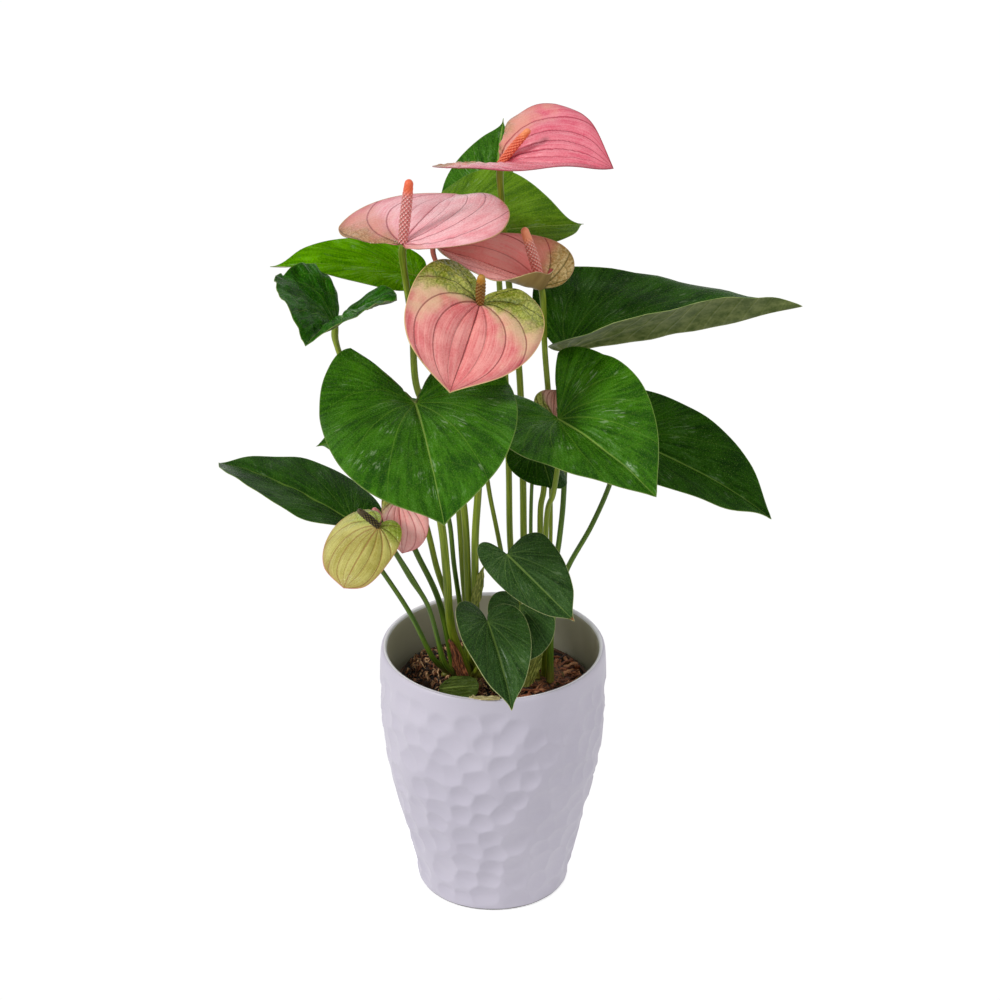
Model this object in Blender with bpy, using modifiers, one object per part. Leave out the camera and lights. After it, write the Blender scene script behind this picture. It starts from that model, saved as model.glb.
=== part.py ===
"""Potted anthurium: fourteen heart-shaped leaves and seven spathes on slender stalks, growing from two
crowns in a plastic nursery pot that stands inside a ceramic cachepot.

Metres, +Z up. The origin is on the pot's axis at the underside of its foot. The tables are in millimetres.
"""

import math

import bmesh
import bpy
import numpy as np

MM = 0.001
GAP = 0.3  # clearance left between neighbouring pieces

# Cachepot: radius and height of the turned profile.
POT_SEGMENTS = 48
POT_FOOT_R = 41.5
POT_FLOOR_Z = 6.0
POT_INNER_FLOOR_R = 38.5
POT_OUTER_CURVES = [
    [(64.8, 152.0), (65.3, 147.0), (65.6, 140.0), (65.6, 126.0)],
    [(65.6, 126.0), (65.6, 78.0), (54.2, 55.0), (44.5, 2.5)],
    [(44.5, 2.5), (44.0, 0.8), (43.0, 0.0), (41.5, 0.0)],
]
POT_INNER_CURVES = [
    [(38.5, 6.0), (48.0, 42.0), (61.4, 80.0), (61.4, 126.0)],
    [(61.4, 126.0), (61.4, 140.0), (61.1, 150.0), (61.0, 152.5)],
]
POT_RIM = [(61.4, 154.0), (62.2, 154.5), (63.4, 154.5), (64.3, 153.9)]

# Nursery pot: a thin tapered shell with a rolled rim, standing on the cachepot's floor.
NURSERY_SEGMENTS = 36
NURSERY_PROFILE = [
    (57.4, 127.0), (57.4, 121.5), (55.2, 121.0), (36.6, 6.3), (0.0, 6.3),
    (0.0, 7.7), (35.4, 7.7), (53.8, 121.6), (55.4, 124.2), (55.4, 127.0),
]
DRAIN_HOLES = 5
DRAIN_RING_R = 22.0
DRAIN_R = 4.0
DRAIN_CUT_DEPTH = 6.0

# Soil: fills the nursery pot, nearly level, with a heap at the left.
SOIL_SEGMENTS = 36
SOIL_TOP_Z = 127.0
SOIL_BOTTOM = (34.6, 8.0)
SOIL_RINGS = [54.6, 49.0, 42.0, 34.0, 26.0, 17.0, 8.0]
SOIL_HEAP = {"centre": (-34.0, 20.0), "radius": 20.0, "height": 9.0}
SOIL_SEAT = 129.7  # level patch under both crowns

# Crowns: low flat-topped knots that the stalks rise from.
CROWN_BOTTOM_Z = 130.0
CROWN_TOP_Z = 133.5
CROWNS = {
    "crown_main": {"centre": (-18.0, 8.0), "radii": (13.5, 18.0)},
    "crown_side": {"centre": (27.0, 10.0), "radii": (13.5, 16.0)},
}

# Blades: where the stalk joins, the tip, the widest point of each half, and how far the lobes reach
# behind the joint. Angles in degrees.
SHOULDER = 0.14
LEAVES = {
    "leaf_front_left": dict(
        base=(-42, -45, 330), tip=(-25, -141, 305), left=(-92, -73, 327), right=(12, -50, 334),
        lobes=(0.39, 0.36), curl=30, arch=30, back=30, notch=0.24, taper=(0.80, 0.60),
        inner=([(-0.12, 0.17), (-0.27, 0.37), (-0.39, 0.56)], [(-0.11, 0.17), (-0.25, 0.37), (-0.36, 0.57)])),
    "leaf_front_right": dict(
        base=(36, -32, 314), tip=(88, -90, 296), left=(6, -67, 314), right=(69, -13, 339),
        lobes=(0.42, 0.30), curl=20, arch=30, back=22,
        inner=(None, [(-0.10, 0.18), (-0.24, 0.43), (-0.30, 0.62)])),
    "leaf_right": dict(
        base=(71, 15, 280), tip=(157, -15, 244), left=(79, -18, 270), right=(97, 38, 293),
        lobes=(0.28, 0.28), curl=20, arch=30, acumen=0.6),
    "leaf_far_right": dict(
        base=(41, 20, 332), tip=(172, 20, 360), left=(54, -11, 356), right=(45, 66, 368),
        lobes=(0.06, 0.08), curl=20, arch=-8, twist=(-28, -48), acumen=0.35),
    "leaf_top": dict(
        base=(1, 104, 377), tip=(6, 164, 415), left=(12, 105, 390), right=(-30, 110, 384),
        lobes=(0.22, 0.22), curl=20, arch=20, acumen=0.9, taper=(0.30, -0.04), shoulder=0.05),
    "leaf_top_right": dict(
        base=(-34, 70, 377), tip=(51, 60, 392), left=(10, 46, 380), right=(-5, 112, 402),
        lobes=(0.04, 0.02), curl=10, arch=12, acumen=0.6, taper=(0.70, 0.0), shoulder=0.28),
    "leaf_back_left": dict(
        base=(-45, 65, 358), tip=(-125, 45, 372), left=(-64, 99, 363), right=(-62, 21, 368),
        lobes=(0.12, 0.12), curl=20, arch=22, acumen=0.9, taper=(0.12, 0.25)),
    "leaf_curled_left": dict(
        base=(-86, -15, 363), tip=(-99, -75, 378), left=(-117, -9, 389), right=(-53, -24, 381),
        lobes=(0.42, 0.28), curl=20, arch=25, back=36),
    "leaf_low_left": dict(
        base=(-79, -15, 242), tip=(-159, 55, 245), left=(-83, 22, 250), right=(-112, -22, 249),
        lobes=(0.18, 0.05), curl=18, arch=20, taper=(0.12, 0.70)),
    "leaf_young_right": dict(
        base=(8, -45, 237), tip=(45, -80, 214), left=(3, -56, 224), right=(30, -43, 247),
        lobes=(0.34, 0.03), curl=20, arch=25, acumen=0.95, taper=(0.50, 0.45)),
    "leaf_young_front": dict(
        base=(-3, -48, 196), tip=(11, -88, 162), left=(-19, -66, 199), right=(19, -50, 196),
        lobes=(0.26, 0.14), curl=20, arch=25, acumen=0.9, taper=(0.50, 0.32)),
    "leaf_young_middle": dict(
        base=(15, -30, 196), tip=(16, -50, 170), left=(-3, -38, 197), right=(35, -38, 190),
        lobes=(0.25, 0.08), curl=20, arch=25),
    "leaf_behind_left": dict(
        base=(-53, 30, 282), tip=(-101, 30, 267), left=(-62, 54, 284), right=(-67, 8, 270),
        lobes=(0.30, 0.30), curl=20, arch=15, acumen=0.95, taper=(0.30, 0.05)),
    "leaf_inner_right": dict(
        base=(25, 5, 280), tip=(33, -14, 262), left=(8, -5, 273), right=(40, 4, 262),
        lobes=(0.20, 0.20), curl=20, arch=15, acumen=0.8, taper=(0.40, 0.30)),
}
FLOWERS = {
    "flower_top": dict(
        base=(4, 30, 439), tip=(65, -5, 451), left=(-4, -9, 451), right=(30, 58, 463),
        lobes=(0.34, 0.0), curl=10, arch=5, taper=(0.52, 0.70), shoulder=0.35),
    "flower_left": dict(
        base=(-49, 0, 405), tip=(-21, 60, 410), left=(6, -18, 420), right=(-84, 24, 404),
        lobes=(0.14, 0.05), curl=10, arch=20),
    "flower_right": dict(
        base=(27, 15, 373), tip=(-32, 35, 388), left=(34, 33, 392), right=(6, -8, 384),
        lobes=(0.16, 0.08), curl=10, arch=10, taper=(0.36, 0.80)),
    "flower_front": dict(
        base=(-7, -20, 378), tip=(-23, -75, 350), left=(-45, -35, 391), right=(26, -32, 362),
        lobes=(0.34, 0.24), curl=20, arch=20, taper=(0.95, 0.62), shoulder=0.26),
    "flower_low_green": dict(
        base=(-63, -50, 257), tip=(-82, -75, 232), left=(-90, -31, 245), right=(-54, -62, 245),
        lobes=(0.28, 0.25), curl=10, arch=20, taper=(0.60, 0.80)),
    "flower_low_pink": dict(
        base=(-53, -15, 256), tip=(-51, -25, 227), left=(-62, -22, 252), right=(-36, -22, 247),
        lobes=(0.35, 0.45), curl=10, arch=20),
    "flower_opening": dict(
        base=(34, 0, 301), tip=(35, 8, 313), left=(41, -2, 310), right=(23, 3, 308),
        lobes=(0.45, 0.45), curl=10, arch=20),
}
SMALL_BLADES = {
    "leaf_young_right", "leaf_young_front", "leaf_young_middle", "leaf_behind_left", "leaf_inner_right",
    "flower_low_green", "flower_low_pink", "flower_opening",
}
LEAF_THICKNESS = 0.7
SPATHE_THICKNESS = 0.9

# Stalks: radius, then points from the foot towards the joint with the blade.
PETIOLES = {
    "leaf_low_left": (1.4, [(-28, 1), (-35, -18, 157), (-47, -22, 187), (-63, -20, 214), (-77, -16, 234)]),
    "leaf_curled_left": (1.7, [(-22, 11), (-25, 4, 176), (-32, 2, 203), (-41, 1, 242), (-63, -2, 298),
                               (-80, -9, 332), (-86, -13, 352)]),
    "leaf_front_left": (2.3, [(-16, 2), (-24, -14, 174), (-26, -22, 211), (-29, -30, 250),
                              (-37, -38, 296), (-41, -40, 320)]),
    "leaf_behind_left": (1.4, [(-15, 20), (-22, 13, 196), (-26, 17, 231), (-38, 25, 262), (-51, 30, 274)]),
    "leaf_back_left": (1.6, [(-9, 15), (-16, 9, 179), (-20, 20, 234), (-27, 38, 286), (-35, 53, 325),
                             (-43, 63, 348)]),
    "leaf_top_right": (1.3, [(17, 14), (3, 22, 213), (-3, 30, 244), (-8, 42, 285), (-12, 52, 320),
                             (-22, 61, 345), (-33, 68, 367)]),
    "leaf_top": (1.8, [(22, 20), (14, 26, 172), (10, 34, 202), (9, 46, 248), (7, 65, 298), (4, 85, 338),
                       (2, 101, 366)]),
    "leaf_inner_right": (1.1, [(27, 9), (22, 4, 203), (22, 2, 257), (25, 3, 270)]),
    "leaf_front_right": (1.6, [(30, 2), (30, -10, 236), (34, -16, 261), (37, -24, 289), (37, -29, 303)]),
    "leaf_far_right": (1.6, [(32.5, 8.5), (35.5, 9, 196), (38, 9.5, 219), (40, 12, 241), (41, 15, 272),
                             (42, 17, 302), (41, 19, 321)]),
    "leaf_right": (1.5, [(33, -5), (33.5, -4, 165), (36.5, -1, 183), (43, 4, 203), (56, 10, 226),
                         (66, 12, 251), (70, 13, 270)]),
    "leaf_young_right": (1.3, [(25, -2), (20, -14, 180), (16, -22, 203), (11, -35, 221), (9, -43, 229)]),
    "leaf_young_front": (1.3, [(-11, -5), (-6, -27, 159), (-4, -37, 178), (-3, -44, 188)]),
    "leaf_young_middle": (1.2, [(19, 4), (18, -8, 156), (17, -18, 174), (16, -28, 188)]),
}
PEDUNCLES = {
    "flower_low_green": (1.3, [(-22, -5), (-28, -28, 160), (-36, -36, 198), (-46, -42, 220),
                               (-54, -46, 238), (-61, -48, 250)]),
    "flower_low_pink": (1.7, [(-23, 4), (-31, -5, 186), (-44, -11, 222), (-51, -12, 246)]),
    "flower_left": (2.0, [(-13, 9), (-14, -6, 187), (-17, -5, 251), (-29, -4, 295), (-42, -3, 319),
                          (-44.5, -2, 358), (-49, 0, 394)]),
    "flower_front": (2.1, [(-9, 2), (-10, -9, 190), (-10, -8, 228), (-8, -6, 262), (-6, -4, 318),
                           (-6, -5, 345), (-7, -15, 368)]),
    "flower_top": (1.9, [(22, 11), (18, 12, 203), (17, 18, 255), (15, 28, 313), (10, 37, 355), (7, 41, 385),
                         (5, 38, 412), (4, 32, 430)]),
    "flower_right": (1.7, [(29, 20), (27, 15, 226), (29, 15, 248), (32, 14, 289), (29, 13, 335),
                           (28, 14, 362)]),
    "flower_opening": (1.1, [(31.5, 14.5), (33, 11, 218), (33, 16, 259), (35, 15, 279), (35, 5, 292)]),
}
SPADICES = {
    "flower_top": {"radius": 2.3, "end": (20, 24, 462)},
    "flower_left": {"radius": 3.0, "end": (-45, 1, 442)},
    "flower_right": {"radius": 2.8, "end": (17, 10, 410)},
    "flower_front": {"radius": 2.6, "end": (-6, -30, 399)},
    "flower_low_green": {"radius": 1.9, "end": (-74, -55, 270)},
    "flower_low_pink": {"radius": 1.7, "end": (-57, -27, 263)},
}
BUD_STEM = (1.1, [(-29, 7), (-36, -5, 179), (-42, -18, 201), (-53, -26, 226), (-64, -30, 247)])
BUD = {"radius": 3.2, "start": (-64.3, -30.2, 247.8), "end": (-66, -28, 257)}

# Scraps: papery sheaths at the crowns and on one stalk, and two leaf scraps lying on the soil.
SHEATHS = {
    "sheath_main": dict(
        base=(-16, -14.5, 130.3), tip=(-25, -14, 166), left=(-21, -14.5, 142), right=(-13.5, -13.5, 140),
        lobes=(0.02, 0.02), curl=40, arch=6),
    "sheath_side": dict(
        base=(18, -8.5, 130.3), tip=(27, -11, 158), left=(17.5, -10, 140), right=(25, -11.5, 139),
        lobes=(0.02, 0.02), curl=40, arch=8),
    "sheath_stalk": dict(
        base=(-9.5, -12.2, 187), tip=(-5, -13, 213), left=(-12.5, -11.5, 192), right=(-6.5, -11.3, 192),
        lobes=(0.02, 0.02), curl=30, arch=6),
    "leaf_scrap_left": dict(
        base=(-30, -19, 136), tip=(-8, -20, 139), left=(-21, -17, 143), right=(-20, -22.5, 129.2),
        lobes=(0.1, 0.1), curl=10, arch=14),
    "leaf_scrap_front": dict(
        base=(-1, -6, 130), tip=(8, -13, 129.8), left=(5, -5, 130.4), right=(0, -12, 130.2),
        lobes=(0.1, 0.1), curl=10, arch=14),
}

COLOURS = {
    "glazed_ceramic": ((0.60, 0.57, 0.64), 0.35),
    "brown_plastic": ((0.13, 0.085, 0.055), 0.5),
    "soil": ((0.06, 0.04, 0.028), 0.95),
    "crown": ((0.16, 0.11, 0.05), 0.8),
    "leaf": ((0.035, 0.12, 0.02), 0.3),
    "stalk": ((0.13, 0.19, 0.035), 0.45),
    "spathe_pink": ((0.68, 0.22, 0.25), 0.35),
    "spathe_green": ((0.42, 0.42, 0.10), 0.35),
    "spadix": ((0.72, 0.33, 0.22), 0.55),
    "spadix_dark": ((0.10, 0.06, 0.03), 0.6),
    "sheath": ((0.33, 0.19, 0.10), 0.8),
}


# ---------------------------------------------------------------- scene and materials
def clear_scene():
    for obj in list(bpy.data.objects):
        bpy.data.objects.remove(obj, do_unlink=True)


def new_collection(name):
    collection = bpy.data.collections.new(name)
    bpy.context.scene.collection.children.link(collection)
    return collection


def paint(obj, slot):
    """Gives the object a material of its own in the slot's colour and roughness."""
    colour, roughness = COLOURS[slot]
    material = bpy.data.materials.new(obj.name + "_" + slot)
    material.use_nodes = True
    shader = material.node_tree.nodes["Principled BSDF"]
    shader.inputs["Base Color"].default_value = (*colour, 1.0)
    shader.inputs["Roughness"].default_value = roughness
    shader.inputs["Metallic"].default_value = 0.0
    obj.data.materials.append(material)


def object_from(name, bm, collection, slot=None, smooth=True):
    """Turns a bmesh in millimetres into a named object in metres."""
    bmesh.ops.scale(bm, vec=(MM, MM, MM), verts=bm.verts)
    mesh = bpy.data.meshes.new(name)
    bm.to_mesh(mesh)
    bm.free()
    mesh.polygons.foreach_set("use_smooth", [smooth] * len(mesh.polygons))
    obj = bpy.data.objects.new(name, mesh)
    collection.objects.link(obj)
    if slot:
        paint(obj, slot)
    return obj


# ---------------------------------------------------------------- curves and turned bodies
def bezier(points, t):
    """Cubic Bezier through its four control points, at every value of t."""
    p = np.asarray(points, float)
    t = np.asarray(t, float)[:, None]
    return (1 - t) ** 3 * p[0] + 3 * (1 - t) ** 2 * t * p[1] + 3 * (1 - t) * t**2 * p[2] + t**3 * p[3]


def chain(curves, steps):
    """Points along Beziers that follow one another, without the last end point."""
    spans = zip(curves, steps)
    return [tuple(q) for curve, n in spans for q in bezier(curve, np.linspace(0, 1, n, endpoint=False))]


def unit(vector):
    return vector / np.linalg.norm(vector)


def spun(profile, segments):
    """Closed body turned about Z from a profile of (radius, height)."""
    bm = bmesh.new()
    verts = [bm.verts.new((r, 0.0, z)) for r, z in profile]
    edges = [bm.edges.new(pair) for pair in zip(verts, verts[1:])]
    if profile[0][0] > 0 and profile[-1][0] > 0:
        edges.append(bm.edges.new((verts[-1], verts[0])))
    bmesh.ops.spin(bm, geom=verts + edges, cent=(0, 0, 0), axis=(0, 0, 1), angle=math.tau, steps=segments,
                   use_merge=True)
    bmesh.ops.remove_doubles(bm, verts=bm.verts, dist=1e-4)
    bmesh.ops.recalc_face_normals(bm, faces=bm.faces)
    return bm


def make_pot(collection):
    outer = chain(POT_OUTER_CURVES, (2, 9, 2)) + [(POT_FOOT_R, 0.0), (0.0, 0.0)]
    inner = [(0.0, POT_FLOOR_Z)] + chain(POT_INNER_CURVES, (8, 2)) + [POT_INNER_CURVES[-1][-1]]
    object_from("pot", spun(outer + inner + POT_RIM, POT_SEGMENTS), collection, "glazed_ceramic")


def make_nursery_pot(collection, cutters):
    pot = object_from("nursery_pot", spun(NURSERY_PROFILE, NURSERY_SEGMENTS), collection, "brown_plastic")
    bm = bmesh.new()
    floor_z = NURSERY_PROFILE[3][1]
    for k in range(DRAIN_HOLES):
        angle = math.tau * k / DRAIN_HOLES
        made = bmesh.ops.create_cone(
            bm, cap_ends=True, segments=12, radius1=DRAIN_R, radius2=DRAIN_R, depth=DRAIN_CUT_DEPTH)
        place = (DRAIN_RING_R * math.cos(angle), DRAIN_RING_R * math.sin(angle), floor_z)
        bmesh.ops.translate(bm, verts=made["verts"], vec=place)
    cutter = object_from("drain_cutter", bm, cutters)
    cutter.hide_render = True
    cutter.display_type = "WIRE"
    cut = pot.modifiers.new("drain_holes", "BOOLEAN")
    cut.operation = "DIFFERENCE"
    cut.solver = "EXACT"
    cut.object = cutter


def soil_height(x, y):
    """Level of the soil: a heap at the left, and level patches where the crowns sit."""
    hx, hy = SOIL_HEAP["centre"]
    near = math.exp(-((x - hx) ** 2 + (y - hy) ** 2) / SOIL_HEAP["radius"] ** 2)
    ripple = 0.8 * math.sin(0.21 * x + 1.0) * math.cos(0.19 * y)
    height = SOIL_TOP_Z + SOIL_HEAP["height"] * near + ripple
    for crown in CROWNS.values():
        (cx, cy), (rx, ry) = crown["centre"], crown["radii"]
        away = math.hypot((x - cx) / rx, (y - cy) / ry)
        share = min(max((away - 1.55) / 0.5, 0.0), 1.0)
        height = SOIL_SEAT + (height - SOIL_SEAT) * share
    return height


def make_soil(collection):
    profile = [(r, SOIL_TOP_Z) for r in reversed(SOIL_RINGS)]
    profile = [(0.0, SOIL_TOP_Z)] + profile + [(53.2, 119.0), SOIL_BOTTOM, (0.0, SOIL_BOTTOM[1])]
    bm = spun(profile, SOIL_SEGMENTS)
    for vert in bm.verts:
        if vert.co.z > SOIL_TOP_Z - 1 and vert.co.xy.length < SOIL_RINGS[0] - 1:
            vert.co.z = soil_height(vert.co.x, vert.co.y)
    object_from("soil", bm, collection, "soil")


def make_crown(name, collection):
    """Oval knot with sloping sides and a level top."""
    (cx, cy), (rx, ry) = CROWNS[name]["centre"], CROWNS[name]["radii"]
    middle = (CROWN_BOTTOM_Z + CROWN_TOP_Z) / 2
    profile = [(0.0, CROWN_TOP_Z), (0.93, CROWN_TOP_Z), (1.1, middle), (1.15, CROWN_BOTTOM_Z),
               (0.0, CROWN_BOTTOM_Z)]
    bm = spun(profile, 20)
    bmesh.ops.scale(bm, vec=(rx, ry, 1.0), verts=bm.verts)
    bmesh.ops.translate(bm, vec=(cx, cy, 0.0), verts=bm.verts)
    object_from(name, bm, collection, "crown")


# ---------------------------------------------------------------- blades
def half_outline(steps, lobe, taper, notch, shoulder, inner=None):
    """One side of a heart outline, from the notch round the lobe and the shoulder to the tip at (1, 0).
    The first number runs along the midrib and the second across, 1 at the shoulder. inner holds the last
    three control points of the notch's edge, where they aren't the usual ones."""
    inner = inner or [(-0.45 * lobe, 0.02 + notch), (-lobe, 0.12 + notch), (-lobe, 0.45 + notch / 2)]
    arcs = [
        [(0, 0), *inner],
        [inner[-1], (-lobe, 0.78), (shoulder - 0.55 * (lobe + shoulder), 1), (shoulder, 1)],
        [(shoulder, 1), (shoulder + 0.46 * (1 - shoulder), 1), (0.86, taper), (1, 0)],
    ]
    return np.array(chain(arcs, (steps,) * 3))[1:]


def arc(t, turn):
    """Circular arc that turns by `turn` over a chord of length 1: place along the chord, and height."""
    chord = 2 * math.sin(turn / 2)
    half = turn / 2
    place = math.sin(half) - np.sin(half - turn * t)
    height = np.cos(half - turn * t) - math.cos(half)
    return place / chord, height / chord


def blade_frame(spec):
    """Joint, length, midrib direction, upward normal, and the two half-width vectors of a blade."""
    base, tip = np.array(spec["base"], float), np.array(spec["tip"], float)
    hinge = base + spec.get("shoulder", SHOULDER) * (tip - base)
    halves = np.array(spec["left"], float) - hinge, np.array(spec["right"], float) - hinge
    along = unit(tip - base)
    normal = unit(np.cross(along, unit(halves[1]) - unit(halves[0])))
    return base, np.linalg.norm(tip - base), along, normal, halves


def blade_points(spec, a, b):
    """Places on the blade for every a along the midrib and b across it, from -1 to 1 at the shoulders.
    The midrib is an arc; each half is an arc across it; the last quarter narrows to a drawn-out tip."""
    base, length, along, normal, halves = blade_frame(spec)
    late = np.clip((a - 0.75) / 0.25, 0, 1)
    b = b * (1 - spec.get("acumen", 0.35) * late * late)
    arch = math.radians(spec["arch"])
    forward, rise = arc(a, arch)
    rise = rise + math.tan(math.radians(spec.get("back", 0))) * np.maximum(-a, 0)
    midrib = base + length * (forward[..., None] * along + rise[..., None] * normal)
    lean = (arch * (0.5 - a))[..., None]
    sides = []
    for sign, half, twist in zip((-1, 1), halves, spec.get("twist", (0, 0))):
        width = np.linalg.norm(half)
        across = half / width
        up = unit(np.cross(along, across) * sign)
        out, lift = arc(np.abs(b), math.radians(spec["curl"]))
        roll = (math.radians(twist) * a)[..., None]
        e = np.cos(roll) * across + np.sin(roll) * np.cross(along, across)
        n = np.cos(roll) * up + np.sin(roll) * np.cross(along, up)
        n = n * np.cos(lean) - np.sin(lean) * along
        sides.append(midrib + width * (out[..., None] * e + lift[..., None] * n))
    return np.where((b < 0)[..., None], sides[0], sides[1])


def make_blade(name, spec, thickness, steps, rings, collection, slot):
    """Heart-shaped sheet: a grid bent onto the blade, its inner edge drawn into the joint, then thickened."""
    tapers = spec.get("taper", (0.52, 0.52))
    shared = spec.get("notch", 0.0), spec.get("shoulder", SHOULDER)
    inner = spec.get("inner", (None, None))
    left = half_outline(steps, spec["lobes"][0], tapers[0], *shared, inner[0]) * (1, -1)
    right = half_outline(steps, spec["lobes"][1], tapers[1], *shared, inner[1])[::-1]
    outline = np.vstack([left, [(1.0, 0.0)], right])
    columns = len(outline) - 1
    bm = bmesh.new()
    bmesh.ops.create_grid(bm, x_segments=columns, y_segments=rings, size=1.0)
    flat = np.array([vert.co.xy for vert in bm.verts])
    column = np.rint((flat[:, 0] + 1) / 2 * columns).astype(int)
    reach = (flat[:, 1] + 1) / 2
    places = blade_points(spec, outline[column, 0] * reach, outline[column, 1] * reach)
    for vert, place in zip(bm.verts, places):
        vert.co = place
    bmesh.ops.remove_doubles(bm, verts=bm.verts, dist=1e-4)
    obj = object_from(name, bm, collection, slot)
    sheet = obj.modifiers.new("thickness", "SOLIDIFY")
    sheet.thickness = thickness * MM
    sheet.offset = 1.0  # the grid faces down, so the sheet grows below its upper face


def joint_normal(spec):
    """Upward normal of the blade where the stalk joins it."""
    _, _, along, normal, _ = blade_frame(spec)
    lean = math.radians(spec["arch"]) / 2
    return math.cos(lean) * normal - math.sin(lean) * along


def fold(spec, above):
    """How steeply the halves lean towards the side the stalk or spadix stands on, at the joint."""
    normal = joint_normal(spec)
    slopes = [float(np.dot(unit(half), normal)) for half in blade_frame(spec)[4]]
    return max([0.0] + [slope if above else -slope for slope in slopes])


# ---------------------------------------------------------------- stalks
def smooth_path(points, steps):
    """Catmull-Rom curve through the points."""
    p = np.asarray(points, float)
    q = np.vstack([2 * p[0] - p[1], p, 2 * p[-1] - p[-2]])
    t = np.linspace(0, 1, steps, endpoint=False)[:, None]
    rows = []
    for a, b, c, d in zip(q, q[1:], q[2:], q[3:]):
        rows.append(0.5 * (2 * b + (c - a) * t + (2 * a - 5 * b + 4 * c - d) * t**2
                           + (3 * b - a - 3 * c + d) * t**3))
    return np.vstack(rows + [p[-1:]])


def make_tube(name, points, radius, collection, slot, radii=None, sides=1):
    """Round bar along a poly spline, capped at both ends."""
    curve = bpy.data.curves.new(name, "CURVE")
    curve.dimensions = "3D"
    curve.bevel_depth = radius * MM
    curve.bevel_resolution = sides
    curve.use_fill_caps = True
    spline = curve.splines.new("POLY")
    spline.points.add(len(points) - 1)
    flat = np.column_stack([np.asarray(points) * MM, np.ones(len(points))])
    spline.points.foreach_set("co", flat.ravel())
    if radii is not None:
        spline.points.foreach_set("radius", list(radii))
    obj = bpy.data.objects.new(name, curve)
    collection.objects.link(obj)
    paint(obj, slot)
    return obj


def make_stalk(name, radius, points, spec, thickness, collection):
    """Stalk that leaves its crown upright and meets the underside of its blade squarely."""
    foot = (*points[0], CROWN_TOP_Z + GAP)
    above_foot = (*points[0], CROWN_TOP_Z + GAP + 3)
    normal = joint_normal(spec)
    end = np.array(spec["base"]) - normal * (thickness + GAP + radius * 0.8 * fold(spec, False))
    below_end = end - normal * 2.5
    path = smooth_path([above_foot] + points[1:] + [below_end], 2)
    path = np.vstack([foot, path, end])
    radii = np.ones(len(path))
    radii[-1] = 0.8
    make_tube(name, path, radius, collection, "stalk", radii)


def make_spadix(name, shape, spec, collection, slot):
    """Blunt spike standing on the upper face of its spathe."""
    normal = joint_normal(spec)
    start_radius = 0.5 * shape["radius"]
    base, tip = np.array(spec["base"], float), np.array(shape["end"], float)
    lean = math.sqrt(1 - float(np.dot(unit(tip - base), normal)) ** 2)
    foot = base + normal * (GAP + start_radius * (fold(spec, True) + lean))
    along = np.array([0.0, 0.12, 0.4, 0.8, 0.93, 1.0])[:, None]
    path = foot + along * (tip - foot)
    make_tube(name, path, shape["radius"], collection, slot, (0.5, 0.85, 1.0, 0.95, 0.75, 0.35), sides=2)


def make_bud(collection):
    radius, points = BUD_STEM
    foot = (*points[0], CROWN_TOP_Z + GAP)
    above_foot = (*points[0], CROWN_TOP_Z + GAP + 3)
    path = smooth_path([above_foot] + points[1:], 2)
    make_tube("bud_stalk", np.vstack([foot, path]), radius, collection, "stalk")
    start, end = np.array(BUD["start"]), np.array(BUD["end"])
    along = np.array([0.0, 0.15, 0.45, 0.75, 1.0])[:, None]
    make_tube("bud", start + along * (end - start), BUD["radius"], collection, "spathe_pink",
              (0.35, 0.85, 1.0, 0.7, 0.2), sides=2)


def main():
    clear_scene()
    plant = new_collection("potted_anthurium")
    cutters = new_collection("cutters")
    cutters.hide_render = True
    make_pot(plant)
    make_nursery_pot(plant, cutters)
    make_soil(plant)
    for name in CROWNS:
        make_crown(name, plant)
    for name, spec in LEAVES.items():
        steps = 3 if name in SMALL_BLADES else 4
        make_blade(name, spec, LEAF_THICKNESS, steps, 3, plant, "leaf")
        radius, points = PETIOLES[name]
        make_stalk(name.replace("leaf", "petiole", 1), radius, points, spec, LEAF_THICKNESS, plant)
    for name, spec in FLOWERS.items():
        steps = 3 if name in SMALL_BLADES else 4
        slot = "spathe_green" if name == "flower_low_green" else "spathe_pink"
        make_blade(name.replace("flower", "spathe", 1), spec, SPATHE_THICKNESS, steps, 3, plant, slot)
        radius, points = PEDUNCLES[name]
        make_stalk(name.replace("flower", "peduncle", 1), radius, points, spec, SPATHE_THICKNESS, plant)
        if name in SPADICES:
            slot = "spadix_dark" if name == "flower_low_green" else "spadix"
            make_spadix(name.replace("flower", "spadix", 1), SPADICES[name], spec, plant, slot)
    make_bud(plant)
    for name, spec in SHEATHS.items():
        slot = "leaf" if name.startswith("leaf") else "sheath"
        make_blade(name, spec, LEAF_THICKNESS, 2, 2, plant, slot)


main()
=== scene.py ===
import math

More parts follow.
